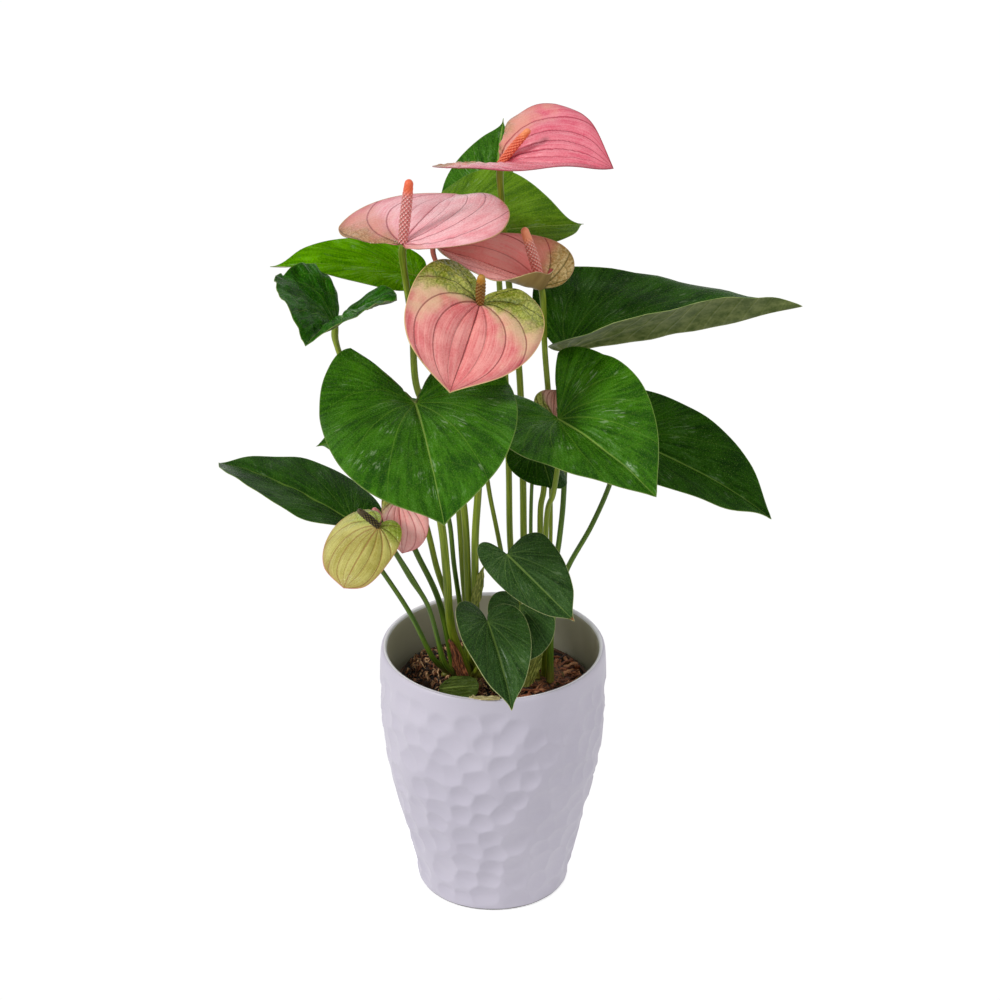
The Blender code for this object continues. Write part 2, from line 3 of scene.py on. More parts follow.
import bpy
import numpy as np
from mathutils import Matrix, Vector


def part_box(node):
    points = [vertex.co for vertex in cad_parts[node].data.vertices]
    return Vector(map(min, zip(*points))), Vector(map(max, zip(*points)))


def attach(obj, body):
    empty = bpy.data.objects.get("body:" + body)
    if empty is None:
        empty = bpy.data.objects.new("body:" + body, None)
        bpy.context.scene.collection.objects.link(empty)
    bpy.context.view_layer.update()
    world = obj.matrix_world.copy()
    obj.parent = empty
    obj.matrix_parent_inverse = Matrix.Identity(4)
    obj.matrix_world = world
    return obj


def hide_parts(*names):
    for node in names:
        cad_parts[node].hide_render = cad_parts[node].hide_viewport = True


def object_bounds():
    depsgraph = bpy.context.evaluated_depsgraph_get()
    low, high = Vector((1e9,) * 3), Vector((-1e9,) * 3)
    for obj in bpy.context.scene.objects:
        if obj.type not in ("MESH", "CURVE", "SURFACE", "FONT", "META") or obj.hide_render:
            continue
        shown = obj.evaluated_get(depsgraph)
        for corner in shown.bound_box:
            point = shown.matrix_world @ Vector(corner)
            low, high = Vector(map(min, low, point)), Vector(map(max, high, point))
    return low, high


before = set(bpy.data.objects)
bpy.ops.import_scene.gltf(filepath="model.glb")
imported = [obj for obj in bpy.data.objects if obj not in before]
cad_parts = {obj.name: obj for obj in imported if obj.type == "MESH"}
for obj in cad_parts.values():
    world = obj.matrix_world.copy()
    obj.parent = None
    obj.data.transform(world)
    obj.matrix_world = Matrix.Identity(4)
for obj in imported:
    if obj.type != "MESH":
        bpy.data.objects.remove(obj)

cad_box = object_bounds()

# ================================================================ stage: camera, lights and floor
# A long lens looks down on the plant a little. One soft lamp stands high at the left, a weaker one at the
# right, and one overhead. The floor is plain white and keeps the pot's contact shadow.


class Wire:
    """A node's output socket. Arithmetic on wires adds Math nodes; every other node comes from node()."""

    def __init__(self, tree, socket=None):
        self.tree = tree
        self.socket = socket

    def node(self, kind, settings=None, sockets=None, out=0):
        made = self.tree.nodes.new("ShaderNode" + kind)
        for key, value in (settings or {}).items():
            setattr(made, key, value)
        for key, value in (sockets or {}).items():
            if isinstance(value, Wire):
                self.tree.links.new(value.socket, made.inputs[key])
            else:
                made.inputs[key].default_value = value
        return Wire(self.tree, made.outputs[out])

    def maths(self, operation, *values):
        return self.node("Math", {"operation": operation}, dict(enumerate(values)))

    def __add__(self, other):
        return self.maths("ADD", self, other)

    def __sub__(self, other):
        return self.maths("SUBTRACT", self, other)

    def __rsub__(self, other):
        return self.maths("SUBTRACT", other, self)

    def __mul__(self, other):
        return self.maths("MULTIPLY", self, other)

    def __truediv__(self, other):
        return self.maths("DIVIDE", self, other)

    def __pow__(self, other):
        return self.maths("POWER", self, other)

    def __abs__(self):
        return self.maths("ABSOLUTE", self)

    __radd__ = __add__
    __rmul__ = __mul__

    def step(self, low, high):
        """0 below low and 1 above high, smooth between; the other way round where low is the larger."""
        if low > high:
            return 1 - self.step(high, low)
        return self.node("MapRange", {"interpolation_type": "SMOOTHSTEP"},
                         {"Value": self, "From Min": low, "From Max": high})

    def mix(self, first, second):
        """The first colour where this is 0, and the second where it is 1."""
        return self.node("Mix", {"data_type": "RGBA"}, {0: self, 6: first, 7: second}, out=2)


def rgb(red, green, blue):
    """Linear colour of a display colour given from 0 to 255."""
    shares = np.array([red, green, blue]) / 255
    linear = np.where(shares <= 0.04045, shares / 12.92, ((shares + 0.055) / 1.055) ** 2.4)
    return (*(float(v) for v in linear), 1.0)


def finish_of(name, look, *args, **more):
    """A Principled material. look(wire, *args, **more) gives its values by the shader's socket names."""
    made = bpy.data.materials.new(name)
    made.use_nodes = True
    tree = made.node_tree
    shader = tree.nodes["Principled BSDF"]
    for key, value in look(Wire(tree), *args, **more).items():
        key = key.replace("_", " ")
        if isinstance(value, Wire):
            tree.links.new(value.socket, shader.inputs[key])
        else:
            shader.inputs[key].default_value = value
    return made


def lamp(name, place, aim, size, power):
    light = bpy.data.lights.new(name, "AREA")
    light.shape = "DISK"
    light.size = size
    light.energy = power
    made = bpy.data.objects.new(name, light)
    made.location = place
    made.rotation_euler = (Vector(aim) - Vector(place)).to_track_quat("-Z", "Y").to_euler()
    bpy.context.scene.collection.objects.link(made)


VIEW_TARGET = Vector((0.004, 0.0, 0.248))
VIEW_DISTANCE = 2.0
VIEW_ELEVATION = math.radians(27)
camera = bpy.data.objects.new("camera", bpy.data.cameras.new("camera"))
camera.data.lens = 127.4
camera.data.sensor_width = 36.0
camera.data.clip_end = 50.0
back = Vector((0.0, -math.cos(VIEW_ELEVATION), math.sin(VIEW_ELEVATION)))
camera.location = VIEW_TARGET + VIEW_DISTANCE * back
camera.rotation_euler = (-back).to_track_quat("-Z", "Y").to_euler()
bpy.context.scene.collection.objects.link(camera)
bpy.context.scene.camera = camera
bpy.context.scene.view_settings.view_transform = "Standard"

lamp("lamp_left", (-1.75, -1.0, 1.7), (0, 0, 0.25), 0.55, 30)
lamp("lamp_right", (1.5, -1.3, 1.1), (0, 0, 0.25), 1.4, 3)
lamp("lamp_high", (0.9, -1.0, 2.2), (0, 0, 0.3), 0.9, 8)


def camera_sees(wire):
    """1 for rays that show the surroundings: straight to the camera, in gloss or through glass."""
    rays = [wire.node("LightPath", out=name)
            for name in ("Is Camera Ray", "Is Glossy Ray", "Is Transmission Ray")]
    return rays[0].maths("MINIMUM", rays[0] + rays[1] + rays[2], 1.0)


world = bpy.data.worlds.new("world")
world.use_nodes = True
bpy.context.scene.world = world
sky = Wire(world.node_tree)
world.node_tree.links.new(
    camera_sees(sky).mix((0.50, 0.50, 0.52, 1), (1, 1, 1, 1)).socket,
    world.node_tree.nodes["Background"].inputs["Color"])

FLOOR_HALF = 6.0
FLOOR_Z = -0.0002  # just under the pot's foot
floor_mesh = bpy.data.meshes.new("floor")
floor_mesh.from_pydata([(x * FLOOR_HALF, y * FLOOR_HALF, FLOOR_Z)
                        for x, y in ((-1, -1), (1, -1), (1, 1), (-1, 1))], [], [(0, 1, 2, 3)])
floor = bpy.data.objects.new("floor", floor_mesh)
bpy.context.scene.collection.objects.link(floor)


def floor_look(w):
    """White paint near the pot, with as much glow as keeps it white where no shadow falls."""
    place = w.node("TexCoord", out="Object")
    away = w.node("VectorMath", {"operation": "LENGTH"}, {0: place}, out="Value")
    near = away.step(0.13, 0.045) * 0.8
    seen = camera_sees(w)
    paint = near.mix((0, 0, 0, 1), (0.9, 0.9, 0.9, 1))
    glow = seen * (1 - near * 0.42)
    return {"Base_Color": seen.mix((0.8, 0.8, 0.8, 1), paint), "Roughness": 1.0, "Specular_IOR_Level": 0.0,
            "Emission_Color": glow.mix((0, 0, 0, 1), (1.02, 1.02, 1.02, 1)), "Emission_Strength": 1.0}


floor_mesh.materials.append(finish_of("floor_white", floor_look))

# ================================================================ cachepot
# A turned stoneware pot with a smooth band under a rounded rim. Below the band the wall is beaten into
# shallow dishes that meet in ridges. One coat of pale lilac-white satin glaze covers all but the bare clay
# foot, which is painted near-black as the shadow in the gap under the pot. The lip is painted paler as a
# highlight, where the glaze also runs thin, and inside the glaze is tinted olive-cream as painted light
# bounced from the leaves and soil.

MM = 0.001
DISH_SPACING = 15.0
DISH_STEEPNESS = 0.030  # rise per square millimetre from a dish's middle
DISH_LEVELS = (-4.0, 142.0)  # heights of the lowest and the highest row of dishes
RIDGE_HEIGHT = 1.9  # most that a dish's middle can lie in from the ridges round it
FOOT_BAND_Z = 11.0  # the dishes fade in over this height
RIM_BAND_Z = (139.0, 149.0)  # and fade out between these


def bezier(points, t):
    """Cubic Bezier through its four control points, at every value of t."""
    p = np.asarray(points, float)
    t = np.asarray(t, float)[:, None]
    return (1 - t) ** 3 * p[0] + 3 * (1 - t) ** 2 * t * p[1] + 3 * (1 - t) * t**2 * p[2] + t**3 * p[3]


def unit(vectors):
    return vectors / np.maximum(np.linalg.norm(vectors, axis=-1, keepdims=True), 1e-12)


def piece(name, points, faces, finishes, replaced=(), finish_index=None, layers=None, sharp=None):
    """Object from points in millimetres and a list of arrays of faces, each with its own number of corners.
    layers maps a UV map's name to the UV of each corner, in the order of the faces' corners. sharp is
    true at the vertices whose edges with each other stay sharp."""
    mesh = bpy.data.meshes.new(name)
    sizes = np.concatenate([np.full(len(f), f.shape[1]) for f in faces])
    corners = np.concatenate([f.ravel() for f in faces])
    mesh.vertices.add(len(points))
    places = np.clip(np.asarray(points, float) * MM, *cad_box)  # nothing stands outside the solids' box
    mesh.vertices.foreach_set("co", places.ravel())
    mesh.loops.add(len(corners))
    mesh.loops.foreach_set("vertex_index", corners.astype(np.int32))
    mesh.polygons.add(len(sizes))
    mesh.polygons.foreach_set("loop_start", np.concatenate([[0], np.cumsum(sizes)[:-1]]).astype(np.int32))
    for finish in finishes:
        mesh.materials.append(finish)
    if finish_index is not None:
        mesh.polygons.foreach_set("material_index", np.asarray(finish_index, np.int32))
    mesh.update(calc_edges=True)
    mesh.shade_smooth()
    for layer, uv in (layers or {}).items():
        mesh.uv_layers.new(name=layer).data.foreach_set("uv", np.asarray(uv, float).ravel())
    if sharp is not None:
        ends = np.empty(len(mesh.edges) * 2, np.int32)
        mesh.edges.foreach_get("vertices", ends)
        hard = mesh.attributes.new("sharp_edge", "BOOLEAN", "EDGE")
        hard.data.foreach_set("value", sharp[ends.reshape(-1, 2)].all(axis=1))
    made = bpy.data.objects.new(name, mesh)
    bpy.context.scene.collection.objects.link(made)
    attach(made, "root")
    if replaced:
        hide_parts(*replaced)


def grid(rows, columns, closed=True):
    """Quads of a grid. Where it is closed, its last column joins the first."""
    r, c = np.meshgrid(np.arange(rows - 1), np.arange(columns if closed else columns - 1), indexing="ij")
    d = (c + 1) % columns
    return np.stack([r * columns + c, r * columns + d, (r + 1) * columns + d, (r + 1) * columns + c],
                    axis=-1).reshape(-1, 4)


def turned(profile, columns, dent=None):
    """Ring points of a profile of (radius, height) turned about Z. dent(angle) gives how far each point of
    each row is pushed in."""
    profile = np.asarray(profile, float)
    angle = np.arange(columns) / columns * math.tau
    radius = np.repeat(profile[:, :1], columns, axis=1)
    if dent is not None:
        radius = radius - dent(angle)
    return np.stack([radius * np.cos(angle), radius * np.sin(angle),
                     np.repeat(profile[:, 1:], columns, axis=1)], axis=-1)


def capped(points, first, last):
    """Vertices and faces of a ring grid, closed at both ends with a fan to a middle point."""
    rows, columns = points.shape[:2]
    around = np.arange(columns)
    after = (around + 1) % columns
    end = (rows - 1) * columns
    middle = rows * columns
    fans = np.concatenate([np.stack([np.full(columns, middle), after, around], axis=1),
                           np.stack([np.full(columns, middle + 1), end + around, end + after], axis=1)])
    return np.vstack([points.reshape(-1, 3), [first, last]]), [grid(rows, columns), fans]


pot_outer = np.vstack([
    bezier([(41.5, 0.0), (43.0, 0.0), (44.0, 0.8), (44.5, 2.5)], np.linspace(0, 1, 6)),
    bezier([(44.5, 2.5), (54.2, 55.0), (65.6, 78.0), (65.6, 126.0)], np.linspace(0, 1, 125)[1:]),
    bezier([(65.6, 126.0), (65.6, 140.0), (65.3, 147.0), (64.8, 152.0)], np.linspace(0, 1, 17)[1:]),
    bezier([(64.8, 152.0), (64.5, 154.0), (63.7, 154.5), (62.8, 154.5)], np.linspace(0, 1, 7)[1:]),
])
pot_inner = np.vstack([
    bezier([(62.8, 154.5), (61.6, 154.5), (61.2, 153.6), (61.0, 151.5)], np.linspace(0, 1, 7)[1:]),
    bezier([(61.0, 151.5), (61.1, 147.0), (61.4, 140.0), (61.4, 126.0)], np.linspace(0, 1, 8)[1:]),
    bezier([(61.4, 126.0), (61.4, 80.0), (48.0, 42.0), (38.5, 6.0)], np.linspace(0, 1, 12)[1:]),
])


def beaten(angle):
    """How far the wall lies in from its ridges, for each row of the profile and each angle. A point
    belongs to the dish whose middle is nearest, and rises with the square of the distance from it."""
    rng = np.random.default_rng(11)
    radius, height = np.vstack([pot_outer, pot_inner]).T
    rise = np.full((len(radius), len(angle)), RIDGE_HEIGHT)
    for level in np.arange(*DISH_LEVELS, DISH_SPACING * 0.86):
        around = np.interp(level, pot_outer[:, 1], pot_outer[:, 0])
        count = int(round(math.tau * around / DISH_SPACING))
        turns = (np.arange(count) + rng.uniform(-0.33, 0.33, count) + rng.uniform()) / count * math.tau
        lifts = level + rng.uniform(-0.33, 0.33, count) * DISH_SPACING
        for turn, lift, steep in zip(turns, lifts, rng.uniform(0.75, 1.25, count)):
            across = (angle - turn + math.pi) % math.tau - math.pi
            square = (across[None, :] * radius[:, None]) ** 2 + ((height - lift) ** 2)[:, None]
            rise = np.minimum(rise, square * DISH_STEEPNESS * steep)
    fade = np.clip((RIM_BAND_Z[1] - height) / (RIM_BAND_Z[1] - RIM_BAND_Z[0]), 0, 1)
    fade = fade * fade * (3 - 2 * fade) * np.clip(height / FOOT_BAND_Z, 0, 1)
    fade[len(pot_outer):] = 0
    return (RIDGE_HEIGHT - rise) * fade[:, None]


def noise(place, scale, detail=2.0, roughness=0.5):
    return place.node("TexNoise", None, {"Vector": place, "Scale": scale, "Detail": detail,
                                         "Roughness": roughness})


def bump(height, distance, strength):
    """Normal of a surface raised by height times distance, which is in metres."""
    return height.node("Bump", None, {"Height": height, "Distance": distance, "Strength": strength})


def glaze(w, first, second):
    """Satin glaze that clouds from the first colour to the second."""
    place = w.node("TexCoord", out="Object")
    spots = noise(place, 60.0, 3.0)
    return {"Base_Color": noise(place, 14.0).step(0.3, 0.7).mix(first, second),
            "Roughness": 0.36 + spots * 0.12, "Normal": bump(spots, 0.0002, 0.25)}


POT_COLUMNS = 440
GLAZED, INNER, FOOT_CLAY_SHADOW, LIP_HIGHLIGHT = range(4)
pot_finishes = [finish_of("pot_" + part, glaze, *colours) for part, *colours in (
    ("glaze", rgb(197, 192, 205), rgb(206, 201, 213)),
    ("inner_glaze", rgb(196, 192, 170), rgb(210, 206, 184)),
    ("foot_clay", rgb(58, 54, 56), rgb(84, 80, 80)),
    ("lip_glaze", rgb(240, 238, 244), rgb(246, 244, 248)))]
row_finish = np.full(len(pot_outer) + len(pot_inner) - 1, GLAZED)
# Inside, the glaze is tinted olive-cream: painted light bounced from the leaves and soil.
row_finish[len(pot_outer):] = INNER
row_finish[:4] = FOOT_CLAY_SHADOW  # the bare foot, painted near-black as the shadow in the gap under the pot
row_finish[len(pot_outer) - 2:len(pot_outer) + 3] = LIP_HIGHLIGHT  # painted highlight along the rim, where the glaze also runs thin
pot_index = np.concatenate([np.repeat(row_finish, POT_COLUMNS), np.repeat([FOOT_CLAY_SHADOW, INNER], POT_COLUMNS)])
pot_points = turned(np.vstack([pot_outer, pot_inner]), POT_COLUMNS, beaten)
pot_points, pot_faces = capped(pot_points, (0, 0, 0), (0, 0, 6))
piece("cachepot", pot_points, pot_faces, pot_finishes, ["pot"], pot_index)

# ================================================================ nursery pot
# The grower's own pot: a thin tapered shell of brown polypropylene with a rolled rim, pressed in a mould.
# Little of it shows, so its solid only takes a finish.


def plastic(w):
    place = w.node("TexCoord", out="Object")
    dust = noise(place, 45.0, 4.0)
    return {"Base_Color": dust.step(0.45, 0.7).mix(rgb(92, 58, 40), rgb(70, 50, 38)),
            "Roughness": 0.4 + dust * 0.25, "Normal": bump(noise(place, 900.0), 0.0001, 0.4)}


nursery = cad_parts["nursery_pot"]
nursery.data.materials.clear()
nursery.data.materials.append(finish_of("nursery_plastic", plastic))

# ================================================================ soil
# Peat with coir and bark: a rough dark bed, heaped at the left, with crumbs and granules on it, a mat of
# curly fibres at the left and long red-brown strands of bark lying at the right.

SOIL_Z = 127.6
SOIL_SIDES = np.array([(54.6, 126.8), (53.2, 119.0), (46.0, 80.0), (34.6, 8.0)])  # radius, height
LOOSE_RADIUS = 51.0  # loose bits lie within this


def ripples(x, y, scale, seed, waves=14):
    """Smooth noise, mostly from -1 to 1: a sum of waves in random directions, about `scale` long."""
    rng = np.random.default_rng(seed)
    turn = rng.uniform(0, math.tau, waves)
    pace = math.tau / scale * rng.uniform(0.6, 1.5, waves)
    start = rng.uniform(0, math.tau, waves)
    total = np.zeros(np.broadcast(x, y).shape)
    for a, k, s in zip(turn, pace, start):
        total = total + np.sin(k * (x * math.cos(a) + y * math.sin(a)) + s)
    return total / math.sqrt(waves / 2) / 1.8


def soil_level(x, y):
    """Height of the bed: level, with a heap at the left and lumps that die away towards the wall."""
    heap = 9.5 * np.exp(-((x + 32) ** 2 + (y - 16) ** 2) / 20.0**2)
    lumps = 1.1 * ripples(x, y, 16.0, 3) + 0.5 * ripples(x, y, 5.0, 4)
    return SOIL_Z + heap + lumps * np.clip((54 - np.hypot(x, y)) / 8, 0, 1)


soil_radii = np.concatenate([np.linspace(0, SOIL_SIDES[0, 0], 60)[1:-1], SOIL_SIDES[:, 0]])
soil_turn = np.arange(180) / 180 * math.tau
soil_x, soil_y = soil_radii[:, None] * np.cos(soil_turn), soil_radii[:, None] * np.sin(soil_turn)
soil_z = soil_level(soil_x, soil_y)
soil_z[-len(SOIL_SIDES):] = SOIL_SIDES[:, 1:]
soil_points, soil_faces = capped(np.stack([soil_x, soil_y, soil_z], axis=-1),
                                 (0, 0, float(soil_level(0.0, 0.0))), (0, 0, SOIL_SIDES[-1, 1]))


def peat(w):
    place = w.node("TexCoord", out="Object")
    lumps = w.node("TexVoronoi", None, {"Vector": place, "Scale": 520.0})
    tone = noise(place, 160.0, 5.0)
    return {"Base_Color": tone.step(0.44, 0.66).mix(rgb(18, 12, 8), rgb(78, 50, 32)), "Roughness": 0.95,
            "Normal": bump(lumps + tone, 0.0012, 0.9)}


piece("soil_bed", soil_points, [f[:, ::-1] for f in soil_faces], [finish_of("peat", peat)], ["soil"])


def part_of(vector, axis):
    return vector.node("SeparateXYZ", None, {0: vector}, out=axis)


def shaded(tone, shade):
    """Two colours multiplied."""
    return tone.node("Mix", {"data_type": "RGBA", "blend_type": "MULTIPLY"},
                     {0: 1.0, 6: tone, 7: shade}, out=2)


def tinted(w, low, middle, high, roughness):
    """Matte finish whose colour runs from low to high with the U of the piece's UV map, one U per bit."""
    share = part_of(w.node("UVMap", {"uv_map": "bit"}), "X")
    grain = noise(w.node("TexCoord", out="Object"), 700.0, 3.0)
    tone = share.step(0.5, 1.0).mix(share.step(0.0, 0.5).mix(low, middle), high)
    shade = grain.step(0.3, 0.7).mix((0.55, 0.55, 0.55, 1), (1.15, 1.15, 1.15, 1))
    return {"Base_Color": shaded(tone, shade), "Roughness": roughness, "Normal": bump(grain, 0.0003, 0.7)}


def strands(name, start, heading, length, curl, radius, flatness, finish, seed):
    """Thin tubes in one mesh, one for each start. Each is a line that wanders: its heading is turned along
    it by two waves of random phase, and its section is an oval that narrows towards both ends."""
    rng = np.random.default_rng(seed)
    count, steps, sides = len(start), 14, 5
    along = np.linspace(0, 1, steps)
    phase = rng.uniform(0, math.tau, (count, 4, 1))
    bend = curl[:, None] * (np.sin(5 * along + phase[:, 0]) + 0.6 * np.sin(11 * along + phase[:, 1]))
    pitch = 0.45 * curl[:, None] * np.sin(7 * along + phase[:, 2])
    turn = heading[:, None] + bend
    stride = (length / steps)[:, None, None]
    step = np.stack([np.cos(turn) * np.cos(pitch), np.sin(turn) * np.cos(pitch), np.sin(pitch)], axis=-1)
    path = start[:, None] + np.cumsum(step * stride, axis=1)
    limit = LOOSE_RADIUS + 0.5
    path[..., :2] *= np.minimum(1, limit / np.hypot(path[..., 0], path[..., 1]))[..., None]
    lift = start[:, 2:] - soil_level(start[:, 0], start[:, 1])[:, None]
    path[..., 2] = soil_level(path[..., 0], path[..., 1]) + lift * (1 + 0.8 * np.sin(6 * along + phase[:, 3]))
    course = unit(np.gradient(path, axis=1))
    side = unit(np.cross(course, (0.0, 0.0, 1.0)))
    up = np.cross(side, course)
    ring = np.arange(sides) / sides * math.tau
    taper = (0.25 + 0.75 * np.sin(math.pi * along) ** 0.5)[None, :, None, None] * radius[:, None, None, None]
    wide = np.cos(ring)[:, None] * side[:, :, None]
    tall = np.sin(ring)[:, None] * up[:, :, None] * flatness
    points = (path[:, :, None] + taper * (wide + tall)).reshape(-1, 3)
    first = (np.arange(count) * steps * sides)[:, None]
    walls = (grid(steps, sides)[None] + first[..., None]).reshape(-1, 4)
    ends = [first + np.arange(sides)[::-1], first + (steps - 1) * sides + np.arange(sides)]
    share = rng.uniform(size=count)
    uv = np.concatenate([np.repeat(share, (steps - 1) * sides * 4)] + [np.repeat(share, sides)] * 2)
    piece(name, points, [f[:, ::-1] for f in (walls, *ends)], [finish],
          layers={"bit": np.stack([uv, uv * 0], axis=1)})


def spread(count, seed, low, high):
    """Random places on the bed with x and y between the corners low and high."""
    rng = np.random.default_rng(seed)
    x = rng.uniform(low[0], high[0], count * 3)
    y = rng.uniform(low[1], high[1], count * 3)
    inside = np.hypot(x, y) < LOOSE_RADIUS
    x, y = x[inside][:count], y[inside][:count]
    return np.stack([x, y, soil_level(x, y)], axis=1)


rng = np.random.default_rng(21)
fibre_start = spread(700, 22, (-51, -34), (2, 44)) + (0, 0, 0.3)
fibres = len(fibre_start)
strands("coir_fibres", fibre_start + rng.uniform(0, 1.4, (fibres, 1)) * (0, 0, 1),
        rng.uniform(0, math.tau, fibres), rng.uniform(3, 9, fibres), rng.uniform(0.8, 2.6, fibres),
        rng.uniform(0.25, 0.6, fibres), 0.8,
        finish_of("coir", tinted, rgb(34, 16, 8), rgb(140, 84, 46), rgb(236, 190, 142), 0.6), 23)
bark_start = spread(150, 24, (2, -46), (46, 22)) + (0, 0, 0.6)
barks = len(bark_start)
strands("bark_strands", bark_start + rng.uniform(0, 2.2, (barks, 1)) * (0, 0, 1),
        rng.normal(0.45, 0.5, barks), rng.uniform(12, 30, barks), rng.uniform(0.05, 0.4, barks),
        rng.uniform(0.5, 1.9, barks), 0.4,
        finish_of("bark", tinted, rgb(44, 20, 10), rgb(150, 84, 50), rgb(222, 158, 112), 0.65), 25)


def crumbs(name, places, sizes, finish, seed):
    """Small faceted stones: a twelve-cornered ball, squashed, turned and dented differently each time."""
    rng = np.random.default_rng(seed)
    golden = (1 + math.sqrt(5)) / 2
    ball = np.array([(-1, golden, 0), (1, golden, 0), (-1, -golden, 0), (1, -golden, 0),
                     (0, -1, golden), (0, 1, golden), (0, -1, -golden), (0, 1, -golden),
                     (golden, 0, -1), (golden, 0, 1), (-golden, 0, -1), (-golden, 0, 1)]) / 1.9
    faces = np.array([(0, 11, 5), (0, 5, 1), (0, 1, 7), (0, 7, 10), (0, 10, 11), (1, 5, 9), (5, 11, 4),
                      (11, 10, 2), (10, 7, 6), (7, 1, 8), (3, 9, 4), (3, 4, 2), (3, 2, 6), (3, 6, 8),
                      (3, 8, 9), (4, 9, 5), (2, 4, 11), (6, 2, 10), (8, 6, 7), (9, 8, 1)])
    count = len(places)
    shapes = ball * rng.uniform(0.75, 1.2, (count, 12, 1)) * rng.uniform(0.55, 1.3, (count, 1, 3))
    turn = rng.uniform(0, math.tau, count)
    cos, sin = np.cos(turn)[:, None], np.sin(turn)[:, None]
    x, y, z = shapes[..., 0], shapes[..., 1], shapes[..., 2]
    points = np.stack([x * cos - z * sin, y, x * sin + z * cos], axis=-1)
    points = places[:, None] + points * sizes[:, None, None]
    faces = (faces[None] + (np.arange(count) * 12)[:, None, None]).reshape(-1, 3)
    share = np.repeat(rng.uniform(size=count), 60)
    piece(name, points.reshape(-1, 3), [faces], [finish],
          layers={"bit": np.stack([share, share * 0], axis=1)})


crumb_places = spread(1500, 26, (-52, -50), (52, 50))
crumbs("peat_crumbs", crumb_places, rng.uniform(0.35, 1.3, len(crumb_places)),
       finish_of("crumb", tinted, rgb(10, 7, 5), rgb(44, 27, 17), rgb(160, 112, 72), 0.9), 27)

# ================================================================ crowns
# The short woody stems that everything grows from, half sunk in the bed: brown and knobbly with old
# leaf scars.


def woody(w):
    place = w.node("TexCoord", out="Object")
    bark = noise(place, 620.0, 5.0, 0.7)
    old = bark.step(0.40, 0.60).mix(rgb(40, 22, 12), rgb(148, 92, 56))
    return {"Base_Color": noise(place, 160.0).step(0.58, 0.70).mix(old, rgb(96, 92, 44)), "Roughness": 0.75,
            "Normal": bump(bark, 0.0008, 0.8)}


KNOB_HEIGHT = 0.09  # as a share of the crown's radius
wood_finish = finish_of("old_stem", woody)
for crown in ("crown_main", "crown_side"):
    low, high = (np.array(corner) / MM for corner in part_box(crown))
    middle, half = (low + high) / 2, (high - low) / 2
    rise = np.linspace(0, math.pi / 2, 14)
    dome = np.stack([np.cos(rise[:-1]), np.sin(rise[:-1])], axis=1)
    rings = turned(np.vstack([[1.0, -1.0], dome]), 40)
    knob = 1 + KNOB_HEIGHT * ripples(rings[..., 0] * 20, rings[..., 1] * 20, 9.0, 31)
    rings[..., :2] *= knob[..., None] * half[:2] * 0.97
    rings[..., 2] = low[2] + rings[..., 2] * (high[2] - low[2]) * 0.9 * knob
    rings[..., :2] += middle[:2]
    points, faces = capped(rings, (*middle[:2], low[2] - 1), (*middle[:2], high[2] - 0.5))
    piece(crown + "_knot", points, faces, [wood_finish], [crown])

# ================================================================ leaves
# Heart-shaped leathery blades, deep glossy green above and dull olive below. A midrib and curved side
# veins run out from the joint, and fine ribs slant across the panels between them. The edge is a thin pale
# line.

SHOULDER = 0.14
LEAF_VEINS = (0.0, 0.50, 0.98, 1.50, 2.05, 2.60)  # angles from the midrib at which veins leave the joint
LEAF_SWEEP = 0.55  # how far the veins bend towards the tip, in radians
LEAF_THICKNESS = 0.7
RIB_SPACING = 11.0  # of the fine ribs between the veins, in millimetres


def half_outline(steps, lobe, taper, notch, shoulder, inner=None):
    """One side of a heart outline, from the notch round the lobe and the shoulder to the tip at (1, 0).
    The first number runs along the midrib and the second across, 1 at the shoulder. inner holds the last
    three control points of the notch's edge, where they aren't the usual ones."""
    inner = inner or [(-0.45 * lobe, 0.02 + notch), (-lobe, 0.12 + notch), (-lobe, 0.45 + notch / 2)]
    arcs = [
        [(0, 0), *inner],
        [inner[-1], (-lobe, 0.78), (shoulder - 0.55 * (lobe + shoulder), 1), (shoulder, 1)],
        [(shoulder, 1), (shoulder + 0.46 * (1 - shoulder), 1), (0.86, taper), (1, 0)],
    ]
    return np.vstack([bezier(curve, np.linspace(0, 1, steps, endpoint=False)) for curve in arcs])[1:]


def arc(t, turn):
    """Circular arc that turns by `turn` over a chord of length 1: place along the chord, and height."""
    chord = 2 * math.sin(turn / 2)
    half = turn / 2
    place = math.sin(half) - np.sin(half - turn * t)
    height = np.cos(half - turn * t) - math.cos(half)
    return place / chord, height / chord


def blade_frame(spec):
    """Joint, length, midrib direction, upward normal, and the two half-width vectors of a blade."""
    base, tip = np.array(spec["base"], float), np.array(spec["tip"], float)
    hinge = base + spec.get("shoulder", SHOULDER) * (tip - base)
    halves = np.array(spec["left"], float) - hinge, np.array(spec["right"], float) - hinge
    along = unit(tip - base)
    normal = unit(np.cross(along, unit(halves[1]) - unit(halves[0])))
    return base, np.linalg.norm(tip - base), along, normal, halves


